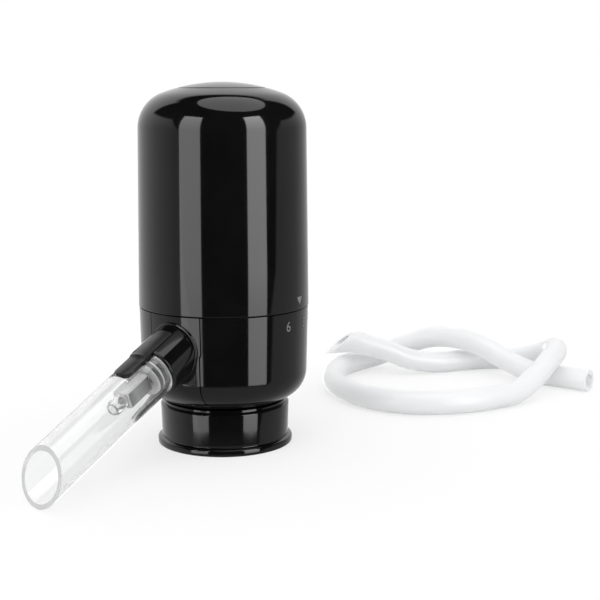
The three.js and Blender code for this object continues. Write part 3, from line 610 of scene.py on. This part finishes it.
def mirrored_room(nodes, links):
    """Strength of the room for gloss, by the direction of the mirrored ray."""
    place = add_node(nodes, "ShaderNodeTexCoord")

    def toward(turn, ahead, rise):
        """How far a ray's direction goes along a vector."""
        angle = VIEW_AZIMUTH + turn
        vector = (-math.sin(angle) * ahead, math.cos(angle) * ahead, rise)
        return dot_product(nodes, links, place.outputs["Generated"], vector)

    def stepped(source, edge, from_value, to_value):
        ends = (edge - FLAG_SOFT, edge + FLAG_SOFT)
        return graded(nodes, links, source, *ends, from_value, to_value)

    past_flag = toward(FLAG_MIDDLE, 1, -FLAG_LEAN)
    behind = toward(ROOM_MIDDLE, 1, 0)
    above = toward(0, 0, 1)
    slanted = toward(math.pi / 2, -LOW_WALL_SLANT, 1)
    room = combined(
        nodes, links, "ADD",
        graded(nodes, links, behind, 0, 1, ROOM_SIDE, ROOM_SIDE + ROOM_BEHIND),
        graded(nodes, links, above, 0, 1, 0, ROOM_ABOVE),
    )
    low_wall = combined(
        nodes, links, "MINIMUM",
        stepped(past_flag, FLAG_EDGE, 0, 1),
        stepped(slanted, LOW_WALL_TOP, 1, 0),
    )
    tall_wall = stepped(above, WALL_TOP, 1, 0)
    for turn in WALL_SIDES:
        end = stepped(toward(turn, 1, 0), 0, 0, 1)
        tall_wall = combined(nodes, links, "MINIMUM", tall_wall, end)
    walls = combined(nodes, links, "MAXIMUM", low_wall, tall_wall)
    seen = combined(nodes, links, "MULTIPLY", room, walls)
    table = graded(nodes, links, above, TABLE_FOOT, TABLE_TOP, TABLE_LEVEL, FLAG_LEVEL)
    return combined(nodes, links, "MAXIMUM", seen, table)


def make_world():
    """White to look at and through, even for matt surfaces, and a studio with a flag for gloss."""
    world = bpy.data.worlds.new("studio")
    bpy.context.scene.world = world
    nodes, links = node_tree(world, emptied=True)

    def mixed(factor, first, second):
        mix = add_node(nodes, "ShaderNodeMixShader")
        for socket, source in zip(mix.inputs, (factor, first, second)):
            links.new(source, socket)
        return mix.outputs[0]

    mirrored = add_node(nodes, "ShaderNodeBackground", Color=WHITE)
    links.new(mirrored_room(nodes, links), mirrored.inputs["Strength"])
    soft = add_node(nodes, "ShaderNodeBackground", Color=WHITE, Strength=SOFT_LEVEL)
    white = add_node(nodes, "ShaderNodeBackground", Color=WHITE, Strength=1.0)
    glossy = ray_kinds(nodes, links, ["Is Glossy Ray"])
    lit = mixed(glossy, soft.outputs[0], mirrored.outputs[0])
    through = ray_kinds(nodes, links, ["Is Camera Ray", "Is Transmission Ray", "Transmission Depth"])
    output = add_node(nodes, "ShaderNodeOutputWorld")
    links.new(mixed(through, lit, white.outputs[0]), output.inputs[0])


def make_floor():
    """A pale floor, lifted to white for the camera, that keeps a soft shadow."""
    corners = [(x * FLOOR_HALF, y * FLOOR_HALF, 0) for x, y in ((-1, -1), (1, -1), (1, 1), (-1, 1))]
    mesh = bpy.data.meshes.new("floor")
    mesh.from_pydata(corners, [], [[0, 1, 2, 3]])
    floor = put_in_scene("floor", mesh)
    material = bpy.data.materials.new("floor")
    nodes, links = node_tree(material, emptied=True)
    paper = add_node(nodes, "ShaderNodeBsdfDiffuse")
    glow = add_node(nodes, "ShaderNodeEmission", Color=WHITE)
    kinds = ray_kinds(nodes, links, ["Is Camera Ray", "Is Transmission Ray"])
    links.new(graded(nodes, links, kinds, 0, 1, FLOOR_PAPER, FLOOR_SEEN), paper.inputs["Color"])
    links.new(graded(nodes, links, kinds, 0, 1, 0, FLOOR_GLOW), glow.inputs["Strength"])
    both = add_node(nodes, "ShaderNodeAddShader")
    output = add_node(nodes, "ShaderNodeOutputMaterial")
    links.new(paper.outputs[0], both.inputs[0])
    links.new(glow.outputs[0], both.inputs[1])
    links.new(both.outputs[0], output.inputs[0])
    mesh.materials.append(material)
    floor.visible_glossy = False
    floor.visible_shadow = False


# Lamps, in metres

STRIP_DISTANCE = 1.0
# Azimuth in degrees from the camera's side, low and high end, width, radiance, its share at the foot
STRIPS = {
    "strip_left": (-44.2, -0.315, 0.86, 0.53, 4.3, 0.53),
    "strip_right": (45.5, -0.315, 0.86, 0.475, 7.1, 0.38),
    "strip_rear": (180, -0.6, -0.04, 0.28, 2.5, 0.6),
}
OVERHEAD_WIDE, OVERHEAD_DEEP, OVERHEAD_RADIANCE = 0.95, 0.9, 1.5
OVERHEAD_AT = Vector((0.17, -0.08, 0.927))  # to the right, away and up, from the body's axis
KEY_STRENGTH = 0.2
KEY_ANGLE = math.radians(45)
KEY_TILT, KEY_LEAN = math.radians(35), math.radians(-10)


def area_lamp(name, shape, wide, tall, radiance):
    """A lamp that neither the camera nor a matt surface sees."""
    data = bpy.data.lights.new(name, "AREA")
    data.shape = shape
    data.size, data.size_y = wide, tall
    data.energy = radiance * math.pi * wide * tall
    lamp = put_in_scene(name, data)
    lamp.visible_camera = False
    lamp.visible_diffuse = False
    return lamp


def strip_lamp(name, azimuth, low, high, wide, radiance, foot_share):
    """A tall lamp that faces the body's axis and gets dimmer towards its foot."""
    turn = VIEW_AZIMUTH + math.radians(azimuth)
    away = Vector((math.sin(turn), -math.cos(turn), 0))
    lamp = area_lamp(name, "RECTANGLE", wide, high - low, radiance)
    lamp.location = Vector((0, AXIS_Y * MM, (low + high) / 2)) + away * STRIP_DISTANCE
    lamp.rotation_euler = away.to_track_quat("Z", "Y").to_euler()
    nodes, links = node_tree(lamp.data)
    place = add_node(nodes, "ShaderNodeNewGeometry")
    split = add_node(nodes, "ShaderNodeSeparateXYZ")
    links.new(place.outputs["Parametric"], split.inputs[0])
    strength = graded(nodes, links, split.outputs["Y"], 0, 1, foot_share, 1)
    links.new(strength, nodes["Emission"].inputs["Strength"])


def make_lights():
    for name, values in STRIPS.items():
        strip_lamp(name, *values)
    above = area_lamp("overhead", "ELLIPSE", OVERHEAD_WIDE, OVERHEAD_DEEP, OVERHEAD_RADIANCE)
    turned = Matrix.Rotation(VIEW_AZIMUTH, 3, "Z") @ OVERHEAD_AT
    above.location = Vector((0, AXIS_Y * MM, 0)) + turned
    above.rotation_euler = (0, 0, VIEW_AZIMUTH)
    data = bpy.data.lights.new("key", "SUN")
    data.energy = KEY_STRENGTH * math.pi
    data.angle = KEY_ANGLE
    key = put_in_scene("key", data)
    key.rotation_euler = (KEY_TILT, KEY_LEAN, VIEW_AZIMUTH)
    key.visible_glossy = False


# Cover and button: a profile's points are radius, height and, where there is one, corner radius

COVER_SEAM_R = 30.0
COVER_WALL_R = 29.2
COVER_TAPER = COVER_SEAM_R - COVER_WALL_R
COVER_TOP_Z = 127.0
SHOULDER_R = 13.0
DOME_R = 60.0
SEAM_Z = 49.5
GAP_HALF = 0.15
WALL = 2.0
SEAM_CORNER, HOLE_CORNER, BUTTON_CORNER = 0.3, 0.35, 0.45
HOLE_R = 15.5
RIB_TOP_Z, RIB_FOOT_Z, RIB_REACH = 59.6, 56.3, 1.8
BUTTON_R, BUTTON_BORE_R, BUTTON_WALL = 15.2, 14.0, 2.0
FLANGE_R, FLANGE_THICK, FLANGE_GAP = 17.0, 1.2, 0.3
STEM_R, STEM_FOOT_Z = 2.6, 123.5
DOME_Z = COVER_TOP_Z - DOME_R
SHOULDER_AT = COVER_WALL_R - SHOULDER_R
SHOULDER_Z = DOME_Z + math.sqrt((DOME_R - SHOULDER_R) ** 2 - SHOULDER_AT**2)
TANGENT = math.degrees(math.atan2(SHOULDER_Z - DOME_Z, SHOULDER_AT))


def dome_z(r, depth=0.0):
    return DOME_Z + math.sqrt((DOME_R - depth) ** 2 - r**2)


def cover_r(z):
    return COVER_SEAM_R - COVER_TAPER * (z - SEAM_Z) / (SHOULDER_Z - SEAM_Z)


def upper_casing(material):
    hole = math.degrees(math.acos(HOLE_R / DOME_R))
    inner_hole = math.degrees(math.acos(HOLE_R / (DOME_R - WALL)))
    inner_r = COVER_SEAM_R - WALL
    rib_r = inner_r - RIB_REACH
    foot = SEAM_Z + GAP_HALF
    rise = SHOULDER_Z - foot
    profile = [(COVER_SEAM_R, foot, SEAM_CORNER)]
    profile += [(COVER_SEAM_R - COVER_TAPER * t, foot + rise * t) for t in (0.25, 0.5, 0.75)]
    profile += arc(SHOULDER_AT, SHOULDER_Z, SHOULDER_R, 0, TANGENT, steps=28)
    profile += arc(0, DOME_Z, DOME_R, TANGENT, hole, steps=6)[1:-1]
    profile += [(HOLE_R, dome_z(HOLE_R), HOLE_CORNER)]
    profile += arc(0, DOME_Z, DOME_R - WALL, inner_hole, TANGENT, steps=4)
    profile += arc(SHOULDER_AT, SHOULDER_Z, SHOULDER_R - WALL, TANGENT, 0, steps=12)[1:]
    profile += [
        (inner_r, RIB_TOP_Z), (rib_r, RIB_TOP_Z - RIB_REACH), (rib_r, RIB_FOOT_Z),
        (inner_r, RIB_FOOT_Z), (inner_r, foot),
    ]
    shape = lathe(rounded(profile), segments=224)
    add_piece("upper_casing_shell", shape, material, "cover", ["upper_casing"], CREASE)


def power_button(material):
    flange_z = dome_z(FLANGE_R, WALL) - FLANGE_GAP
    flange_foot_z = flange_z - FLANGE_THICK
    edge_z = dome_z(BUTTON_R)
    edge = math.degrees(math.acos(BUTTON_R / DOME_R))
    profile = [(0, COVER_TOP_Z)] + arc(0, DOME_Z, DOME_R, 90, edge, steps=12)[1:-1]
    profile += [
        (BUTTON_R, edge_z, BUTTON_CORNER), (BUTTON_R, flange_z), (FLANGE_R, flange_z),
        (FLANGE_R, flange_foot_z), (BUTTON_BORE_R, flange_foot_z),
        (BUTTON_BORE_R, edge_z - BUTTON_WALL), (STEM_R, COVER_TOP_Z - BUTTON_WALL),
        (STEM_R, STEM_FOOT_Z), (0, STEM_FOOT_Z),
    ]
    shape = lathe(rounded(profile, closed=False), segments=192)
    add_piece("power_button_cap", shape, material, "button", ["power_button"], CREASE)


# Lower casing, front panel and skirt

LOWER_TOP_Z = SEAM_Z - GAP_HALF
LOWER_SEAM_R = 29.8
LOWER_WAIST_R = 29.3
LOWER_WAIST_Z = 26.5
CORNER_R = 10.4
CORNER_AT = LOWER_WAIST_R - CORNER_R
FOOT_Z = LOWER_WAIST_Z - CORNER_R
PORT_R = 7.9
FOOT_RINGS = (16.0, 12.0, PORT_R)
PANEL_HALF, PANEL_FOOT_HALF = 10.4, 9.95
PANEL_STEP_Z, PANEL_STEP = 36.8, 0.9
PANEL_FOOT_Z = 18.4
PANEL_COLUMNS = 44
GAP_COLUMNS, CASING_COLUMNS = 16, 208
WIDEST_GAP = 0.8  # share of the radius that half of the gap may reach
SEAM_ROW = 0.25  # a row this far below the seam keeps its edge narrow
# Rows above the panel's step: first height, margin above the step, and count
CASING_UPPER_ROWS = (48.4, 0.6, 14)
PANEL_UPPER_ROWS = (48.7, 0.4, 24)
# Rows below it: first and last height, and count
CASING_LOWER_ROWS = (35.2, LOWER_WAIST_Z, 12)
PANEL_LOWER_ROWS = (35.5, 20.0, 34)
CORNER_ANGLES = range(4, 90, 4)
TAIL_ANGLES = (56, 62, 68, 74, 80, 85, 90)
ROOM_ABOVE_CUT, ROOM_BELOW_CUT = 0.2, 0.15
CASING_EDGE = 0.12
BOSS_R, BOSS_RISE, BOSS_BORE_R = 9.6, 0.8, 8.5
BOSS_OVERLAP = 0.7
BOSS_RING = [
    (BOSS_BORE_R, -WALL), (BOSS_R, -0.3), (BOSS_R, BOSS_RISE, 0.3), (BOSS_BORE_R, BOSS_RISE, 0.2),
]
SKIRT_PROFILE = [
    (19.8, 0, 0.2), (24.05, 0, 0.6), (24.05, 2.3, 0.9), (22.5, 2.75, 0.25), (22.6, 3.5, 0.5),
    (22.7, 7.9), (22.85, 14.3, 0.4), (22.1, 14.9, 0.2), (21.8, 15.0, 0.2), (21.8, 15.8, 0.2),
    (PORT_R, 15.8), (PORT_R, 13.8), (19.8, 13.8),
]


def lower_r(z):
    if z >= LOWER_WAIST_Z:
        share = (z - LOWER_WAIST_Z) / (LOWER_TOP_Z - LOWER_WAIST_Z)
        return LOWER_WAIST_R + (LOWER_SEAM_R - LOWER_WAIST_R) * share
    drop = LOWER_WAIST_Z - z
    return CORNER_AT + math.sqrt(max(0.0, CORNER_R**2 - drop**2))


def inner_point(z):
    """The point of the casing's inside that faces a height on its outside."""
    if z >= LOWER_WAIST_Z:
        return (lower_r(z) - WALL, z)
    angle = math.asin(min(1.0, (LOWER_WAIST_Z - z) / CORNER_R))
    reach = CORNER_R - WALL
    return (CORNER_AT + reach * math.cos(angle), LOWER_WAIST_Z - reach * math.sin(angle))


def half_width(z, grow):
    """Half of the panel's width at a height, or of its gap where grow is above zero."""
    top, low = PANEL_STEP_Z - grow, PANEL_STEP_Z - PANEL_STEP - grow
    share = min(1.0, max(0.0, (z - low) / (top - low)))
    return PANEL_FOOT_HALF + (PANEL_HALF - PANEL_FOOT_HALF) * share + grow


def heights_to_step(grow, first, margin, count):
    """Heights of the rows from the seam down to both ends of the panel's step."""
    top, low = PANEL_STEP_Z - grow, PANEL_STEP_Z - PANEL_STEP - grow
    return [LOWER_TOP_Z, LOWER_TOP_Z - SEAM_ROW, *spaced(first, top + margin, count), top, low]


def corner_heights(angles):
    return [LOWER_WAIST_Z - CORNER_R * math.sin(math.radians(a)) for a in angles]


def on_casing(r, z, turn):
    return (r * math.sin(turn), -r * math.cos(turn), z)


def lower_casing(material):
    """The casing without its front panel. Columns follow the panel's edges, so both are smooth."""
    cut_z = PANEL_FOOT_Z - GAP_HALF
    heights = heights_to_step(GAP_HALF, *CASING_UPPER_ROWS) + spaced(*CASING_LOWER_ROWS)
    heights += [z for z in corner_heights(CORNER_ANGLES) if z > cut_z + ROOM_ABOVE_CUT] + [cut_z]
    gap_rows = len(heights) - 1
    heights += [z for z in corner_heights(TAIL_ANGLES) if z < cut_z - ROOM_BELOW_CUT]
    outside = [(lower_r(z), z) for z in heights] + [(r, FOOT_Z) for r in FOOT_RINGS]
    inside = [inner_point(z) for z in heights] + [(r, FOOT_Z + WALL) for r in FOOT_RINGS]

    def row(r, z):
        half = min(half_width(z, GAP_HALF), r * WIDEST_GAP)
        turns = turns_with_gap(0, math.asin(half / r), GAP_COLUMNS, CASING_COLUMNS)
        return [on_casing(r, z, turn) for turn in turns]

    outer, inner = ([row(*point) for point in points] for points in (outside, inside))
    shape = walled(outer, inner, True, lambda i, j: i < gap_rows and j < GAP_COLUMNS)
    name = "lower_casing_shell"
    piece = add_piece(name, shape, material, "base", ["lower_casing"])
    round_edges(piece, CASING_EDGE, segments=2)


def front_panel(material):
    """The panel and the boss round the spout, whose ring covers the edge of the panel's hole."""
    cut_z = PANEL_FOOT_Z + GAP_HALF
    heights = heights_to_step(-GAP_HALF, *PANEL_UPPER_ROWS) + spaced(*PANEL_LOWER_ROWS) + [cut_z]

    def row(r, z):
        edge = math.asin(half_width(z, -GAP_HALF) / r)
        return [on_casing(r, z, turn) for turn in spaced(-edge, edge, PANEL_COLUMNS)]

    outer = [row(lower_r(z), z) for z in heights]
    inner = [row(*inner_point(z)) for z in heights]

    def bored(i, j):
        corners = (outer[i][j], outer[i][j + 1], outer[i + 1][j], outer[i + 1][j + 1])
        x, y, z = (sum(values) / 4 for values in zip(*corners))
        up = -(y - SPOUT_ROOT_Y) * SPOUT_SIN + (z - SPOUT_ROOT_Z) * SPOUT_COS
        return math.hypot(x, up) < BOSS_R - BOSS_OVERLAP

    def on_boss(x, y, proud):
        return in_spout(x, y, along_to_casing(x, y, CASING_R + proud))

    ring = lathe(rounded(BOSS_RING), 112, on_boss)
    shape = joined(walled(outer, inner, False, bored), ring)
    add_piece("front_panel_shell", shape, material, "base", ["front_panel"], CREASE)


def neck_skirt(material):
    shape = lathe(rounded(SKIRT_PROFILE), segments=192)
    add_piece("neck_skirt_shell", shape, material, "base", ["neck_skirt"], CREASE)


# Spout

COLLAR_R, COLLAR_BORE_R = 9.2, 7.2
COLLAR_LENGTH = 12.0
COLLAR_SEAT_R = CASING_R + BOSS_RISE + 0.5
COLLAR_RELIEF = 0.12
COLLAR_ROWS = [1.2, 4.0, 7.0, 9.5, 11.0, 11.5]
ROOT_SHARES = (0.0, 0.06, 0.5, 1.0)
PLUG_R, PLUG_START, PLUG_END = 8.2, -4.0, 0.1
MOUTH_R = 0.5
MOUTH_BACK, MOUTH_PITCH = 0.39, 0.006  # of the bore's last rows, behind the rounded mouth
SLOT_START, SLOT_ROOM, SLOT_COLUMNS = 0.2, 0.3, 12
LEAST_ROOT = 0.6
COLLAR_COLUMNS = 128

SPOUT_START = COLLAR_LENGTH + 0.3
SPOUT_ROOT_R, SPOUT_TIP_R, SPOUT_WALL = 8.45, 8.05, 1.5
SPOUT_LENGTH = 69.0
SPOUT_PAST_LIP = 5.0  # the taper is measured to here
LIP_SLOPE = math.tan(math.radians(33))
LIP_THINNED = 0.25
TAPER_LENGTH = SPOUT_LENGTH + SPOUT_TIP_R * LIP_SLOPE + SPOUT_PAST_LIP - SPOUT_START
NOTCH_END = COLLAR_LENGTH + 15.0
NOTCH_BOW, NOTCH_ROOM = 3.6, 1.2
NOTCH_COLUMNS, SPOUT_COLUMNS = 24, 144
NEAR_FIRST, NEAR_COUNT, NEAR_EDGE = 14.5, 6, 0.6
FAR_SHARES = (0.012, *(k / 10 for k in range(1, 10)), 0.97, 0.99, 1.0)
CUT_FACING = 0.6  # least cosine to the spout's axis of a cut face
CUT_EDGE = 0.3

LATCH_HALF = math.radians(21)
LATCH_INNER_R = SPOUT_ROOT_R - SPOUT_WALL + 0.15
LATCH_END, LATCH_STEP = COLLAR_LENGTH + 14.0, COLLAR_LENGTH + 3.4
LATCH_CORNER = 2.0
LATCH_COLUMNS = 14
# Distance along the spout and radius of the tongue's top
LATCH_TOP = [
    (0.6, 9.2), (2.0, 9.2), (8.0, 9.2), (LATCH_STEP - 1.2, 9.2), (LATCH_STEP - 0.5, 9.25),
    (LATCH_STEP, 9.45), (LATCH_STEP + 0.35, 9.4), (LATCH_STEP + 0.8, 9.05), (LATCH_STEP + 2.5, 9.0),
    (LATCH_END - LATCH_CORNER, 9.0),
]
NOSE_ANGLES = range(15, 90, 15)
NOSE_FALL = 0.004  # for each degree
NOSE_TIP = (LATCH_END - 0.02, 8.6)
LATCH_EDGE = 0.25


def row_off_boss(rho, turns, along):
    """Points round the spout's axis, moved out where they would be in the casing or its boss."""
    points = []
    for angle in turns:
        x, y = polar(rho, angle)
        points.append(in_spout(x, y, max(along, along_to_casing(x, y, COLLAR_SEAT_R))))
    return points


def spout_collar(material):
    slot = LATCH_HALF + SLOT_ROOM / COLLAR_BORE_R
    turns = turns_with_gap(TOP, slot, SLOT_COLUMNS, COLLAR_COLUMNS)

    def root_row(rho, share):
        """A ring at a share of the way from the casing to where the slot starts."""
        out = []
        for angle in turns:
            x, y = polar(rho, angle)
            start = along_to_casing(x, y, COLLAR_SEAT_R)
            at_slot = abs(math.remainder(angle - TOP, FULL)) <= slot + TINY
            end = SLOT_START if at_slot else max(SLOT_START, start + LEAST_ROOT)
            out.append(in_spout(x, y, start + (end - start) * share))
        return out

    outer = [root_row(COLLAR_R - COLLAR_RELIEF, ROOT_SHARES[0])]
    outer += [root_row(COLLAR_R, share) for share in ROOT_SHARES[1:]]
    outer += [row_off_boss(COLLAR_R, turns, along) for along in COLLAR_ROWS]
    inner = [root_row(COLLAR_BORE_R, share) for share in ROOT_SHARES]
    inner += [row_off_boss(COLLAR_BORE_R, turns, along) for along in COLLAR_ROWS]
    mouth = arc(COLLAR_R - MOUTH_R, COLLAR_LENGTH - MOUTH_R, MOUTH_R, 15, 90, steps=5)
    for k, (radius, along) in enumerate(mouth):
        outer.append(row_off_boss(radius, turns, along))
        behind = COLLAR_LENGTH - MOUTH_BACK + MOUTH_PITCH * k
        inner.append(row_off_boss(COLLAR_BORE_R, turns, behind))
    cut_rows = len(ROOT_SHARES) - 1
    sleeve = walled(outer, inner, True, lambda i, j: i >= cut_rows and j < SLOT_COLUMNS)
    plug = [(COLLAR_BORE_R, PLUG_START), (PLUG_R, PLUG_START)]
    plug += [(PLUG_R, PLUG_END), (COLLAR_BORE_R, PLUG_END)]
    shape = joined(sleeve, lathe(plug, 96, in_spout))
    add_piece("spout_collar_sleeve", shape, material, "base", ["spout_collar"], CREASE)


def spout_latch(material):
    nose_start = LATCH_END - LATCH_CORNER
    half = LATCH_INNER_R * math.sin(LATCH_HALF)
    places = list(LATCH_TOP)
    for a in NOSE_ANGLES:
        along = nose_start + LATCH_CORNER * math.sin(math.radians(a))
        places.append((along, LATCH_TOP[-1][1] - a * NOSE_FALL))
    places.append(NOSE_TIP)

    def width(along):
        past = along - nose_start
        if past <= 0:
            return half
        return half - LATCH_CORNER + math.sqrt(max(0.0, LATCH_CORNER**2 - past**2))

    def row(rho, along):
        edge = math.asin(width(along) / LATCH_INNER_R)
        return row_off_boss(rho, spaced(TOP - edge, TOP + edge, LATCH_COLUMNS), along)

    outer = [row(rho, along) for along, rho in places]
    inner = [row(LATCH_INNER_R, along) for along, rho in places]
    shape = walled(outer, inner, False)
    name = "spout_latch_tongue"
    piece = add_piece(name, shape, material, "base", ["spout_latch"])
    round_edges(piece, LATCH_EDGE)


def clear_spout(material, edge_material):
    notch = LATCH_HALF + NOTCH_ROOM / SPOUT_ROOT_R
    turns = turns_with_gap(
        TOP, notch, NOTCH_COLUMNS, SPOUT_COLUMNS, lambda share: -math.cos(math.pi * share)
    )

    def row(depth, along, stretch=None):
        """A ring at a depth in the wall, at a distance or at a share of the way from notch to lip."""
        out = []
        for angle in turns:
            place = along
            across = math.remainder(angle - TOP, FULL) / notch
            bow = NOTCH_BOW * math.sqrt(max(0.0, 1 - across**2))
            # The place and the radius depend on each other, and settle in three rounds
            for _ in range(3):
                share = (place - SPOUT_START) / TAPER_LENGTH
                wall = max(0.0, depth - LIP_THINNED * share**2)
                rho = SPOUT_ROOT_R + (SPOUT_TIP_R - SPOUT_ROOT_R) * share - wall
                lip = SPOUT_LENGTH - rho * math.sin(angle) * LIP_SLOPE
                if stretch is not None:
                    place = NOTCH_END + bow * (1 - stretch) + (lip - NOTCH_END) * stretch
            out.append(in_spout(*polar(rho, angle), place))
        return out

    near = [SPOUT_START, SPOUT_START + NEAR_EDGE]
    near += spaced(NEAR_FIRST, NOTCH_END - NEAR_EDGE, NEAR_COUNT) + [NOTCH_END]
    outer, inner = (
        [row(depth, along) for along in near] + [row(depth, 0, share) for share in FAR_SHARES]
        for depth in (0.0, SPOUT_WALL)
    )
    cut_rows = len(near) - 1
    shape = walled(outer, inner, True, lambda i, j: i < cut_rows and j < NOTCH_COLUMNS)
    name = "clear_spout_tube"
    piece = add_piece(name, shape, material, "spout", ["clear_spout"])
    two_tone(piece, edge_material, lambda normal: abs(normal.dot(SPOUT_AXIS)) > CUT_FACING)
    round_edges(piece, CUT_EDGE, tone=0)


# Spigot, seals and nozzle, inside the root of the clear spout

SPIGOT_START, SPIGOT_END = 2.0, 17.0
SPIGOT_R, SPIGOT_BORE_R = 6.2, 3.4
SPIGOT_FOOT_R, SPIGOT_FOOT = 6.9, 3
SEAL_PLACES = (13.1, 15.6)
SEAL_AT_R, SEAL_SECTION_R = 5.92, 0.62
GROOVE_R, GROOVE_HALF = 5.0, 0.95
NOZZLE_HALF_W, NOZZLE_HALF_H, NOZZLE_BORE_R = 3.2, 3.0, 1.7
NOZZLE_POWER = 9  # of the block's outline, a superellipse
NOZZLE_SIDES = 64
NOZZLE_EDGE, NOZZLE_SHRINK = 0.35, 0.3
FLANK_FACING = 0.97
TIP_ROOM, TIP_LENGTH, TIP_TAPER = 0.3, 5, 0.7
TIP_R, TIP_END_R = 2.6, 2.25


def spout_spigot(material):
    grooves = []
    for middle in SEAL_PLACES:
        low, high = middle - GROOVE_HALF, middle + GROOVE_HALF
        grooves += [(SPIGOT_R, low, 0.1), (GROOVE_R, low), (GROOVE_R, high), (SPIGOT_R, high, 0.1)]
    foot_end = SPIGOT_START + SPIGOT_FOOT
    profile = [
        (SPIGOT_BORE_R, SPIGOT_START), (SPIGOT_FOOT_R, SPIGOT_START), (SPIGOT_FOOT_R, foot_end),
        (SPIGOT_R, foot_end), *grooves, (SPIGOT_R, SPIGOT_END, 0.3), (SPIGOT_BORE_R, SPIGOT_END, 0.3),
    ]
    shape = lathe(rounded(profile, steps=3), 96, in_spout)
    add_piece("spout_spigot_tube", shape, material, "base", ["spout_spigot"], CREASE)


def spigot_seals(material):
    for number, place in enumerate(SEAL_PLACES, 1):
        shape = lathe(arc(SEAL_AT_R, place, SEAL_SECTION_R, 0, 342, steps=19), 96, in_spout)
        name = f"spigot_seal_{number}"
        add_piece(name, shape, material, "base", [f"spout_o_ring_{number}"])


def nozzle_block(flanks, rest):
    def edge(angle):
        """Distance from the axis to the block's rounded outline."""
        x, y = abs(math.cos(angle) / NOZZLE_HALF_W), abs(math.sin(angle) / NOZZLE_HALF_H)
        return (x**NOZZLE_POWER + y**NOZZLE_POWER) ** (-1 / NOZZLE_POWER)

    def row(radius_at, along):
        return [in_spout(*polar(radius_at(angle), angle), along) for angle in turns]

    turns = [FULL * k / NOZZLE_SIDES for k in range(NOZZLE_SIDES)]
    end = NOZZLE_START + NOZZLE_LENGTH
    middles = [NOZZLE_START + NOZZLE_EDGE, *(NOZZLE_START + k for k in (3, 6, 9)), end - NOZZLE_EDGE]
    outer = [row(lambda angle: edge(angle) - NOZZLE_SHRINK, NOZZLE_START)]
    outer += [row(edge, along) for along in middles]
    outer += [row(lambda angle: edge(angle) - NOZZLE_SHRINK, end)]
    inner = [row(lambda angle: NOZZLE_BORE_R, along) for along in (NOZZLE_START, *middles, end)]
    shape = walled(outer, inner, True)
    name = "nozzle_block"
    piece = add_piece(name, shape, flanks, "base", ["aerator_nozzle"], CREASE)
    # The flanks that face across get the painted reflection, and the other faces get the clear core
    two_tone(piece, rest, lambda normal: abs(normal.x) < FLANK_FACING)


def nozzle_tip(material):
    start = NOZZLE_START + NOZZLE_LENGTH + TIP_ROOM
    end = start + TIP_LENGTH
    profile = [
        (NOZZLE_BORE_R, start), (TIP_R, start, 0.2), (TIP_R, end - TIP_TAPER), (TIP_END_R, end, 0.2),
        (NOZZLE_BORE_R, end),
    ]
    shape = lathe(rounded(profile), 64, in_spout)
    add_piece("nozzle_tip_tube", shape, material, "base", ["nozzle_tip"], CREASE)


# Print on the casings, at angles from the spout

NUMBERS = ("6", "8", "10", "12")
FIRST_NUMBER_AT, NUMBER_PITCH = 83.7, 20.6  # degrees
NUMBER_Z = 44.7
TYPE_SIZE = 4.968  # makes numerals 3.6 high
TYPE_STEPS = 6
PRINT_PROUD = 0.08
POINTER_AT = math.radians(96.2)
POINTER_Z, POINTER_HALF, POINTER_TALL = 52.8, 1.8, 2.8


def wrapped(name, flat, turn, z, radius_at, material, body):
    """Lays a flat figure round a casing at an angle and a height."""
    points, faces = flat
    placed = []
    for x, y in points:
        r = radius_at(z + y) + PRINT_PROUD
        placed.append(on_casing(r, z + y, turn + x / r))
    add_piece(name, (placed, faces), material, body)


def numeral(text):
    """A numeral as points and faces, from Blender's own typeface."""
    curve = bpy.data.curves.new("numeral", "FONT")
    curve.body = text
    curve.align_x = "CENTER"
    curve.size = TYPE_SIZE
    curve.resolution_u = TYPE_STEPS
    writing = put_in_scene("numeral", curve)
    bpy.context.view_layer.update()
    mesh = bpy.data.meshes.new_from_object(writing)
    bpy.data.objects.remove(writing)
    low = min(v.co.y for v in mesh.vertices)
    high = max(v.co.y for v in mesh.vertices)
    points = [(v.co.x, v.co.y - (low + high) / 2) for v in mesh.vertices]
    faces = [list(p.vertices) for p in mesh.polygons]
    bpy.data.meshes.remove(mesh)
    return points, faces


def make_print(material):
    for k, text in enumerate(NUMBERS):
        turn = math.radians(FIRST_NUMBER_AT + NUMBER_PITCH * k)
        wrapped("numeral_" + text, numeral(text), turn, NUMBER_Z, lower_r, material, "base")
    top = POINTER_TALL / 2
    triangle = [(-POINTER_HALF, top), (POINTER_HALF, top), (0, -top)], [[0, 1, 2]]
    wrapped("pointer", triangle, POINTER_AT, POINTER_Z, cover_r, material, "cover")


def dress_nodes(made):
    """Gives each CAD node that still shows its material."""
    slots = {row["node"]: row["material_slot"] for row in frame["record"]["subparts"]}
    for name, node in frame["nodes"].items():
        node.data.materials.clear()
        node.data.materials.append(made[slots[name]])


make_camera()
materials = make_materials()
make_hose(materials["silicone"])
make_world()
make_floor()
make_lights()
dress_nodes(materials)
for make_casing in (upper_casing, power_button, lower_casing, front_panel, neck_skirt, spout_collar):
    make_casing(materials["gloss_black"])
spout_latch(materials["latch_black"])
clear_spout(materials["clear_plastic"], materials["clear_edge"])
spout_spigot(materials["clear_core"])
spigot_seals(materials["seal_rubber"])
# The block's flanks take the painted reflection in smoke_plastic
nozzle_block(materials["smoke_plastic"], materials["clear_core"])
nozzle_tip(materials["clear_plastic"])
make_print(materials["print_grey"])

# Light passes the clear tube's walls many times
CLEAR_BOUNCES, GLOSSY_BOUNCES = 24, 12
scene = bpy.context.scene
scene.view_settings.view_transform = "Standard"
scene.cycles.max_bounces = CLEAR_BOUNCES
scene.cycles.glossy_bounces = GLOSSY_BOUNCES
scene.cycles.transmission_bounces = CLEAR_BOUNCES
